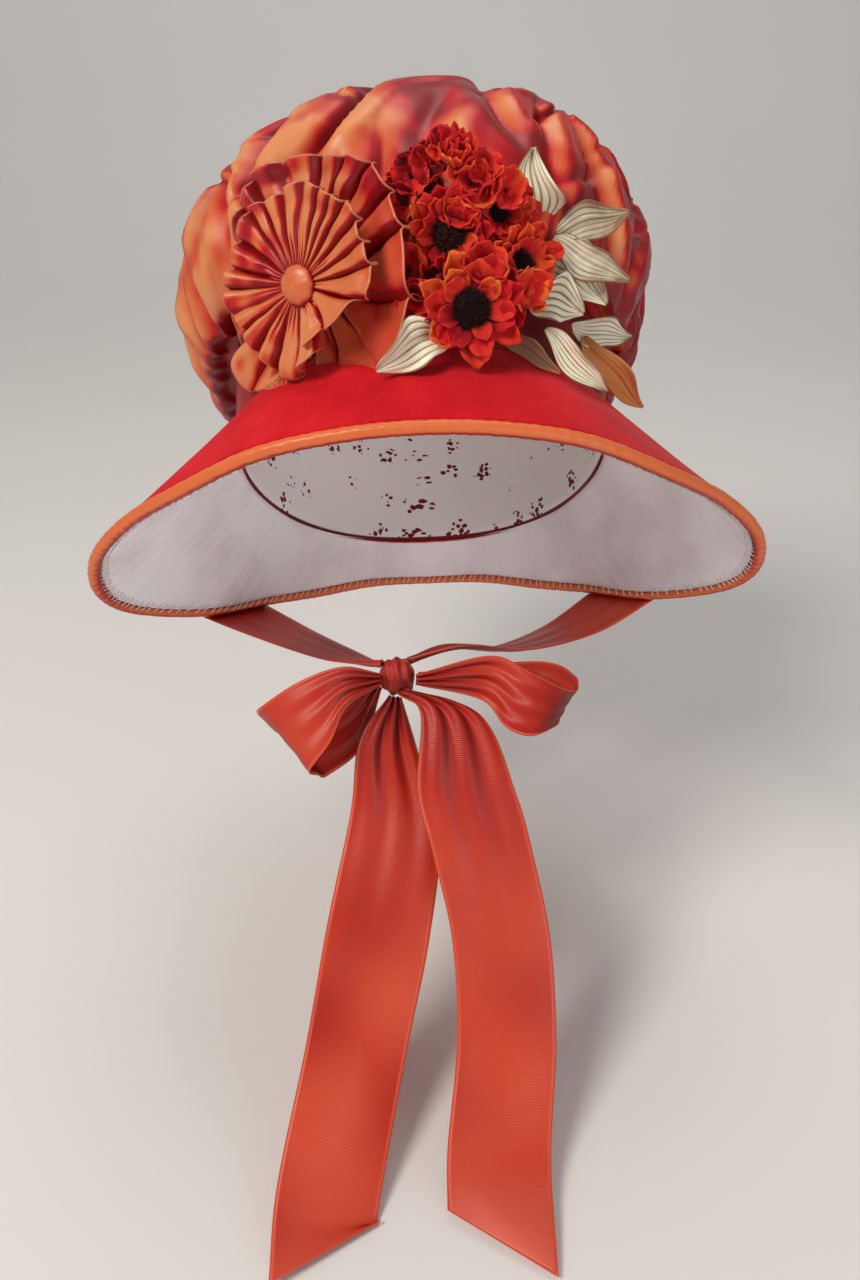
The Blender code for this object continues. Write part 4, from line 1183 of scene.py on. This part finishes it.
class BONNET_OT_stage(Maker, bpy.types.Operator):
    """Make the floor, the soft studio lights and the camera."""

    bl_idname = "bonnet.stage"
    bl_label = "Stage"

    def execute(self, context):
        _, colours = self.given(context)
        across = np.linspace(-FLOOR_HALF, FLOOR_HALF, 13)
        run = smooth_rows(FLOOR_RUN, 60)
        rise = run[:, 1:] + CAD_BOX[0].z / MM - FLOOR_DROP
        grid = np.stack(np.broadcast_arrays(across[None], run[:, :1], rise), axis=-1)
        put_grid("floor", grid, floor_finish(colours))
        self.add_lamps(context)
        self.add_camera(context)
        context.scene.view_settings.view_transform = "Standard"
        return {"FINISHED"}

    @staticmethod
    def add_lamps(context):
        """Round lamps that look at the bonnet, and a pale sky."""
        for name, place, size, power, colour in LAMPS:
            data = bpy.data.lights.new(name, "AREA")
            data.shape = "DISK"
            data.size = size
            data.energy = power
            data.color = colour
            lamp = bpy.data.objects.new(name, data)
            back = unit(np.array(place) - LAMPS_TARGET)
            right = unit(np.cross([0.0, 0.0, 1.0], back))
            lamp.matrix_world = standing(place, right, np.cross(back, right))
            context.scene.collection.objects.link(lamp)
        world = bpy.data.worlds.new("studio")
        world.use_nodes = True
        sky = world.node_tree.nodes["Background"]
        sky.inputs["Color"].default_value = SKY_COLOUR
        sky.inputs["Strength"].default_value = SKY_STRENGTH
        context.scene.world = world

    @staticmethod
    def add_camera(context):
        """The camera at the photograph's place, tilted down and rolled."""
        tilt, roll = math.radians(CAMERA_TILT), math.radians(CAMERA_ROLL)
        upright = np.array([0, math.sin(tilt), math.cos(tilt)])
        right = math.cos(roll) * SIDE_AXIS + math.sin(roll) * upright
        up = math.cos(roll) * upright - math.sin(roll) * SIDE_AXIS
        data = bpy.data.cameras.new("camera")
        data.sensor_width = CAMERA_SIDE
        data.lens = CAMERA_LENS
        data.clip_start = 0.01
        data.clip_end = 30
        camera = bpy.data.objects.new("camera", data)
        camera.matrix_world = standing(np.array(CAMERA_PLACE) * MM, right, up)
        context.scene.collection.objects.link(camera)
        context.scene.camera = camera


class BONNET_OT_brim(Maker, bpy.types.Operator):
    """Make the felt brim, its cotton lining, the stitches and the piped binding."""

    bl_idname = "bonnet.brim"
    bl_label = "Brim"

    def execute(self, context):
        shape, colours = self.given(context)
        angle = ring_angles(360)
        shares = np.linspace(0, 1, 27)
        felt = brim_sheet(angle, shares, 0.0)
        felt = brim_sheet(angle, shares, 0.22 * ripple(felt, 55, 2))
        brim = put_grid("felt_brim", felt, felt_finish(colours), shape.brim_wall / MM, ring=True)
        worn(brim, "red_felt", "brim")

        grid = lining_grid(shape, ring_angles(720), np.linspace(0, 1, 30))
        wall = shape.lining_wall / MM * LINING_BODY
        lining = put_grid("lining_cloth", grid, cotton_finish(colours), wall, ring=True)
        worn(lining, "white_cotton", "brim_lining")

        tube = binding_grid(shape, ring_angles(900), ring_angles(18))
        normals = facing_normals(tube, tube - tube.mean(axis=0))
        # painted light and shade: the binding is lighter where its tube faces the binding's lit way
        tone = smooth_step(-0.25, 0.75, normals @ unit(BINDING_WAY))
        shade, lit = picked(colours, "binding_shade", "binding")
        silk = silk_finish("binding_silk", [(0.0, shade * 0.7), (0.3, shade), (0.75, lit)])
        binding = put_grid("binding_piping", tube, silk, ring=True, tube=True, tints={"tone_and_painted_light": tone})
        worn(binding, "binding_silk", "brim_binding")
        self.add_stitches(shape, colours)
        return {"FINISHED"}

    @staticmethod
    def add_stitches(shape, colours):
        """Each stitch is a short arc of thread from the lining over the inner edge of the binding."""
        count = shape.stitches
        rng = np.random.default_rng(11)
        angle = ring_angles(count) + rng.uniform(-STITCH_TURN, STITCH_TURN, count)
        start = brim_sheet(angle - STITCH_TURN, np.array([0.965]), 0.0)[0]
        _, end, down, out = brim_frame(angle + STITCH_TURN)
        inner = -(shape.brim_wall / 2 + shape.lining_wall) / MM - LINING_GAP - 0.7
        start = start + out * inner
        finish = end - (1.15 * BINDING_REACH) * down + out * (inner - 1.3)
        share = np.linspace(0, 1, 6)[None, :, None]
        line = start[:, None] * (1 - share) + finish[:, None] * share
        line = line - out[:, None] * 0.55 * np.sin(math.pi * share)
        along = unit(finish - start)[:, None]
        side = unit(np.cross(along, out[:, None]))[:, :, None]
        corner = ring_angles(5)[None, None, :, None]
        spread = THREAD_RADIUS * (np.cos(corner) * side + np.sin(corner) * out[:, None, None])
        rings = line[:, :, None] + spread
        stitches = put_patches("lining_stitches", rings, thread_finish(colours), closed=True)
        worn(stitches, "white_cotton")


class BONNET_OT_crown(Maker, bpy.types.Operator):
    """Make the side band, the gathered silk crown and its printed lining."""

    bl_idname = "bonnet.crown"
    bl_label = "Crown"

    def execute(self, context):
        shape, colours = self.given(context)
        angle = ring_angles(288)
        height = np.linspace(GAP, BAND_HEIGHT, 22)[:, None] + 0 * angle
        wrinkle = 0.18 * np.sin(0.55 * height + 2.2 * np.sin(3 * angle) + np.sin(7 * angle))
        grid = opening(angle + 0 * height, height, GAP / 2 + BAND_WALL / 2 + wrinkle)
        band_silk, lit = picked(colours, "band", "band_lit")
        # painted light and shade on the band: a dark shaded end and a lit end, chosen by how the silk faces
        # the warp's way
        stops = [(0.0, band_silk * 0.45), (0.5, band_silk), (1.0, lit)]
        silk = silk_finish("band_silk", stops, roughness=0.5)
        tone = shot_tone(grid_normals(grid, True), grid, 5) * 0.8
        band = put_grid("side_band", grid, silk, BAND_WALL * BAND_BODY, ring=True, tints={"tone_and_painted_light": tone})
        worn(band, "band_silk", "crown_band")

        puff, change = crown_grid(shape, 380, 118)
        pole = CROWN_TOP[0] * UP_AXIS + CROWN_TOP[1] * LONG_AXIS + CROWN_TOP[2] * SIDE_AXIS
        tone = shot_tone(facing_normals(puff, puff - 90 * UP_AXIS), puff, 6, SHOT_WAY, 0.20, 1.06)
        # painted shade in the dents of the gathers and folds, and a little painted light where the puff
        # swells
        tone = tone + 0.06 * np.clip(change, -8, 2)
        silk = silk_finish("shot_silk", shot_stops(colours))
        wall = shape.silk_wall / MM
        crown = put_grid("silk_crown", puff, silk, wall, ring=True, pole=pole, tints={"tone_and_painted_light": tone})
        worn(crown, "shot_silk", "crown")

        grid = crown_lining_grid(240, 44)
        wall = shape.lining_wall / MM * LINING_BODY
        pole = CROWN_LINING_TOP * UP_AXIS
        lining = put_grid("print_lining", grid, print_finish(colours), wall, ring=True, pole=pole)
        worn(lining, "print_cotton", "crown_lining")
        return {"FINISHED"}


class BONNET_OT_cockade(Maker, bpy.types.Operator):
    """Make the two ruched tiers of the cockade and its covered button."""

    bl_idname = "bonnet.cockade"
    bl_label = "Cockade"

    def execute(self, context):
        shape, colours = self.given(context)
        silk = silk_finish("cockade_silk", shot_stops(colours, 0.97), edge=colours.silk_edge)
        turn, place = facing(COCKADE_MIDDLE, COCKADE_FACING)
        for node, name, pleats, shade in (
                ("cockade_outer", "cockade_ruffle_back", shape.outer_pleats, 0.42),
                ("cockade_inner", "cockade_ruffle_front", shape.inner_pleats, 0.22)):
            tier = TIERS[node]
            grid = ruffle(pleats, **tier)
            raised = grid[..., 2] - grid[..., 2].mean(axis=1, keepdims=True)
            # painted shade: darker in the low parts of the pleats and toward the side of larger local x, by
            # each tier's shade share
            painted_shade = 0.3 - 0.3 * smooth_step(-3.5, 1.5, raised) + shade * smooth_step(-8, 42, grid[..., 0])
            grid = grid @ turn.T + place
            if node == "cockade_outer":
                grid = rest_on_brim(grid)
            grid = seat(grid, node)
            normals = facing_normals(grid, turn[:, 2])
            tone = shot_tone(normals, grid, tier["seed"], COCKADE_WAY, 0.22, 0.98) - painted_shade
            piece = put_grid(name, grid, silk, shape.ruffle_wall / MM, ring=True, tints={"tone_and_painted_light": tone})
            worn(piece, "shot_silk", node)

        button = dome_grid(BUTTON_RADIUS, BUTTON_HEIGHT, 72, 18)
        lobes = np.sin(9 * np.arctan2(button[..., 1], button[..., 0])) * (1 - button[..., 2] / BUTTON_HEIGHT)
        creases = ripple(button, 7, 3) * 0.18 + 0.25 * lobes
        button = button + unit(button - np.array([0, 0, -6.0])) * creases[..., None]
        button = seat(button @ turn.T + place, "cockade_button")
        tone = 0.8 * shot_tone(facing_normals(button, turn[:, 2]), button, 24)
        pole = button[-1].mean(axis=0)
        knob = put_grid("cockade_covered_button", button, silk, ring=True, pole=pole, tints={"tone_and_painted_light": tone})
        worn(knob, "shot_silk", "cockade_button")
        return {"FINISHED"}


class BONNET_OT_flowers(Maker, bpy.types.Operator):
    """Make the cloth flowers with their fuzzy middles and the florets between them."""

    bl_idname = "bonnet.flowers"
    bl_label = "Flowers"

    def execute(self, context):
        shape, colours = self.given(context)
        petal = petal_finish(colours)
        fuzz, fuzz_brown = picked(colours, "fuzz", "fuzz_brown")
        dark = fuzz_finish("fuzz_dark", fuzz * 0.5, fuzz * 1.8)
        brown = fuzz_finish("fuzz_brown", fuzz, fuzz_brown)
        for number, row in enumerate(FLOWERS):
            self.add_flower(shape, row, number, petal, brown if row[0] == "daisy_brown" else dark)
        self.add_florets(shape, petal)
        return {"FINISHED"}

    def add_flower(self, shape, row, number, petal, fuzz):
        """Layers of petals, each shorter and more upright than the one under it."""
        name, x, y, z, *way, petals, radius, middle = row
        layers, low, high, first, last = PETALS[name]
        reach = PETAL_REACH * radius
        turn, place = facing((x, y, z), way)
        hub = 0.75 * middle if middle else 0.16 * reach
        rings, tints = [], []
        for layer in range(layers):
            share = layer / (layers - 1)
            length = (reach - hub) * (1.0 - 0.28 * share) * 1.05
            half = 0.74 * math.pi * (hub + 0.6 * length) / petals
            lean = (first + 26 * share, last + 10 * share)
            seed = 10 * number + layer
            patch = petal_patches(petals, hub * (1 - 0.2 * share), length, half, lean, 100 + seed)
            patch[..., 2] += 0.9 * share
            rings.append(patch)
            tints.append(petal_tints(patch, low, high, 300 + seed))
        node = "flower_" + name
        points = seat(np.concatenate(rings) @ turn.T + place, node)
        tints = {"tint": np.concatenate(tints)}
        worn(put_patches(node + "_petals", points, petal, shape.petal_wall / MM, tints), "petal_red", node)
        if middle:
            self.add_middle(shape, node, number, middle, turn, fuzz)

    @staticmethod
    def add_middle(shape, node, number, radius, turn, fuzz):
        """A bumpy dome with fibres that stand out of it."""
        low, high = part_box(node + "_middle")
        heart = np.array((low + high) / 2) / MM - turn[:, 2] * radius * 0.31
        dome = dome_grid(radius * 0.9, radius * 0.55, 48, 12)
        dome = dome + unit(dome + 1e-6) * (0.5 * ripple(dome, 2.6, number))[..., None]
        dome = dome @ turn.T + heart
        tints = {"tint": np.full(dome.shape[:2], 0.1)}
        core = put_grid(node + "_heart", dome, fuzz, ring=True, pole=dome[-1].mean(axis=0), tints=tints)
        worn(core, "fuzz_brown", node + "_middle")
        fibres = fibre_patches(radius * 0.95, radius * 0.60, shape.fibres, FIBRE_LENGTH, 40 + number)
        tints = {"tint": np.array([0.15, 0.5, 0.9])[None, :, None]}
        plush = put_patches(node + "_plush", fibres @ turn.T + heart, fuzz, closed=True, tints=tints)
        worn(plush, "fuzz_brown")

    @staticmethod
    def add_florets(shape, petal):
        """Small ruffled florets, set against the depth of the two nearest flowers."""
        middles = np.array([row[1:4] for row in FLOWERS], dtype=float)
        boxes = [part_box("flower_" + row[0]) for row in FLOWERS]
        depths = np.array([(low.y + high.y) / 2 / MM for low, high in boxes])
        rings, tints = [], []
        for number, (x, z, radius, tint) in enumerate(FLORETS):
            apart = np.hypot(middles[:, 0] - x, middles[:, 2] - z)
            near = np.argsort(apart)[:2]
            weight = 1 / (apart[near] + 4)
            y = (depths[near] * weight).sum() / weight.sum() + 3.5
            turn, place = facing((x, y, z), (0.015 * (x - 20), -0.9, 0.35))
            patch = petal_patches(6, 1.0, radius, 0.62 * radius, (24, 66), 500 + number, rows=8)
            rings.append(patch @ turn.T + place)
            tints.append(petal_tints(patch, tint - 0.2, tint + 0.4, 600 + number))
        points = np.concatenate(rings)
        tints = {"tint": np.concatenate(tints)}
        worn(put_patches("spray_florets", points, petal, shape.petal_wall / MM, tints), "petal_red")


class BONNET_OT_leaves(Maker, bpy.types.Operator):
    """Make the striped cloth leaves."""

    bl_idname = "bonnet.leaves"
    bl_label = "Leaves"

    def execute(self, context):
        shape, colours = self.given(context)
        cloth = leaf_finish(colours)
        for row in LEAVES:
            node = "leaf_" + row[0]
            grid = seat(leaf_grid(row), node)
            u = np.linspace(0, 1, LEAF_ROWS)[:, None]
            v = np.linspace(-1, 1, LEAF_COLUMNS)[None]
            tip = smooth_step(0.72, 1.0, u) * (0.5 + 0.5 * np.sin(4 * v + row[1]))
            tints = {"tint": row[-2] + 0.42 * tip + 0.3 * v**8}
            leaf = put_grid(node + "_blade", grid, cloth, shape.petal_wall / MM, tints=tints)
            worn(leaf, "leaf_cream", node)
        return {"FINISHED"}


class BONNET_OT_ribbons(Maker, bpy.types.Operator):
    """Make the two ties, the bow's loops and knot, and the two tails."""

    bl_idname = "bonnet.ribbons"
    bl_label = "Ribbons"

    def execute(self, context):
        shape, colours = self.given(context)
        satin = ribbon_finish(colours)
        for number, (node, rows, count, pleats, swell, held, length, share) in enumerate(self.routes(shape)):
            grid = ribbon_grid(rows, count, pleats, swell, 70 + number)
            tints = {"tone_and_painted_light": ribbon_tone(grid, 80 + number)}
            name = "ribbon_" + node.removeprefix("bow_")
            piece = put_grid(name, grid, satin, shape.ribbon_wall / MM * RIBBON_BODY, tints=tints)
            worn(piece, "ribbon_satin", node)
        grid = knot_grid(96, 48)
        wrap = put_grid("ribbon_knot", grid, satin, ring=True, tints={"tone_and_painted_light": ribbon_tone(grid, 90)})
        worn(wrap, "ribbon_satin", "bow_knot")
        return {"FINISHED"}

    @staticmethod
    def routes(shape):
        """Rows of node, points, their number, pleats, ripple, hold, length and share of the cut left."""
        clear = shape.ribbon_wall / MM / 2 + GAP / 2

        def knot(toward_a, toward_b):
            """The row of a route that leaves or enters the knot."""
            return [knot_row(toward_a, toward_b, clear, RIBBON_COLUMNS)]

        def tie(side, table, end):
            """A tie's route: its run on the brim, the rows of its table, and its end."""
            return tie_on_brim(shape, side, RIBBON_COLUMNS) + ruled(table, RIBBON_COLUMNS) + end

        tie_left = tie(-1, TIE_LEFT, knot((-0.75, 0.1, 0.6), (-0.6, 0.8, 0.3)))
        tie_right = tie(1, TIE_RIGHT, knot((0.6, 0.55, 0.6), (0.4, 0.9, 0.15)))
        loop_left = (knot((-0.85, -0.45, 0.5), (-0.85, -0.65, 0.0)) + ruled(LOOP_LEFT, RIBBON_COLUMNS)
                     + knot((-0.9, 0.2, -0.2), (-0.75, -0.1, -0.55)))
        loop_right = (knot((0.85, -0.35, 0.3), (0.85, -0.45, -0.2)) + ruled(LOOP_RIGHT, RIBBON_COLUMNS)
                      + knot((0.9, 0.15, 0.05), (0.85, 0.0, -0.4)))
        tail_left = knot((-0.45, -0.3, -0.9), (0.1, -0.3, -0.9)) + ruled(TAIL_LEFT, RIBBON_COLUMNS)
        tail_right = knot((-0.1, -0.95, -0.35), (0.4, -0.9, -0.15)) + ruled(TAIL_RIGHT, RIBBON_COLUMNS)
        return [
            ("tie_left", tie_left, 150, (0, 1.6, 3), 0.25, "stretched", 0.195, TIE_SHARE),
            ("tie_right", tie_right, 150, (0, 1.6, 3), 0.25, "stretched", 0.205, TIE_SHARE),
            ("bow_loop_left", loop_left, 150, (1.5, 1.2, 3), 0.5, "folded", 0.14, LOOP_SHARE),
            ("bow_loop_right", loop_right, 150, (1.5, 1.2, 3), 0.5, "folded", 0.135, LOOP_SHARE),
            ("tail_left", tail_left, 170, (2.2, 0, 3), 0.9, "hung", 0.275, TIE_SHARE),
            ("tail_right", tail_right, 170, (2.2, 0, 3), 0.9, "hung", 0.294, TIE_SHARE),
        ]


class BONNET_PT_panel(bpy.types.Panel):
    """Lists the bonnet's makers, sizes and colours."""

    bl_label = "Bonnet"
    bl_idname = "BONNET_PT_panel"
    bl_space_type = "VIEW_3D"
    bl_region_type = "UI"
    bl_category = "Bonnet"

    def draw(self, context):
        for maker in MAKERS:
            self.layout.operator(maker.bl_idname)
        for group in (context.scene.bonnet_shape, context.scene.bonnet_colours):
            box = self.layout.box()
            for label in group.bl_rna.properties.keys()[2:]:
                box.prop(group, label)


MAKERS = (BONNET_OT_stage, BONNET_OT_brim, BONNET_OT_crown, BONNET_OT_cockade, BONNET_OT_flowers,
          BONNET_OT_leaves, BONNET_OT_ribbons)
CLASSES = (BonnetShape, BonnetColours, *MAKERS, BONNET_PT_panel)


def register():
    for made in CLASSES:
        bpy.utils.register_class(made)
    bpy.types.Scene.bonnet_shape = bpy.props.PointerProperty(type=BonnetShape)
    bpy.types.Scene.bonnet_colours = bpy.props.PointerProperty(type=BonnetColours)


def unregister():
    del bpy.types.Scene.bonnet_colours
    del bpy.types.Scene.bonnet_shape
    for made in reversed(CLASSES):
        bpy.utils.unregister_class(made)


def main():
    register()
    bpy.ops.bonnet.stage()
    bpy.ops.bonnet.brim()
    bpy.ops.bonnet.crown()
    bpy.ops.bonnet.cockade()
    bpy.ops.bonnet.flowers()
    bpy.ops.bonnet.leaves()
    bpy.ops.bonnet.ribbons()


if __name__ == "__main__":
    main()
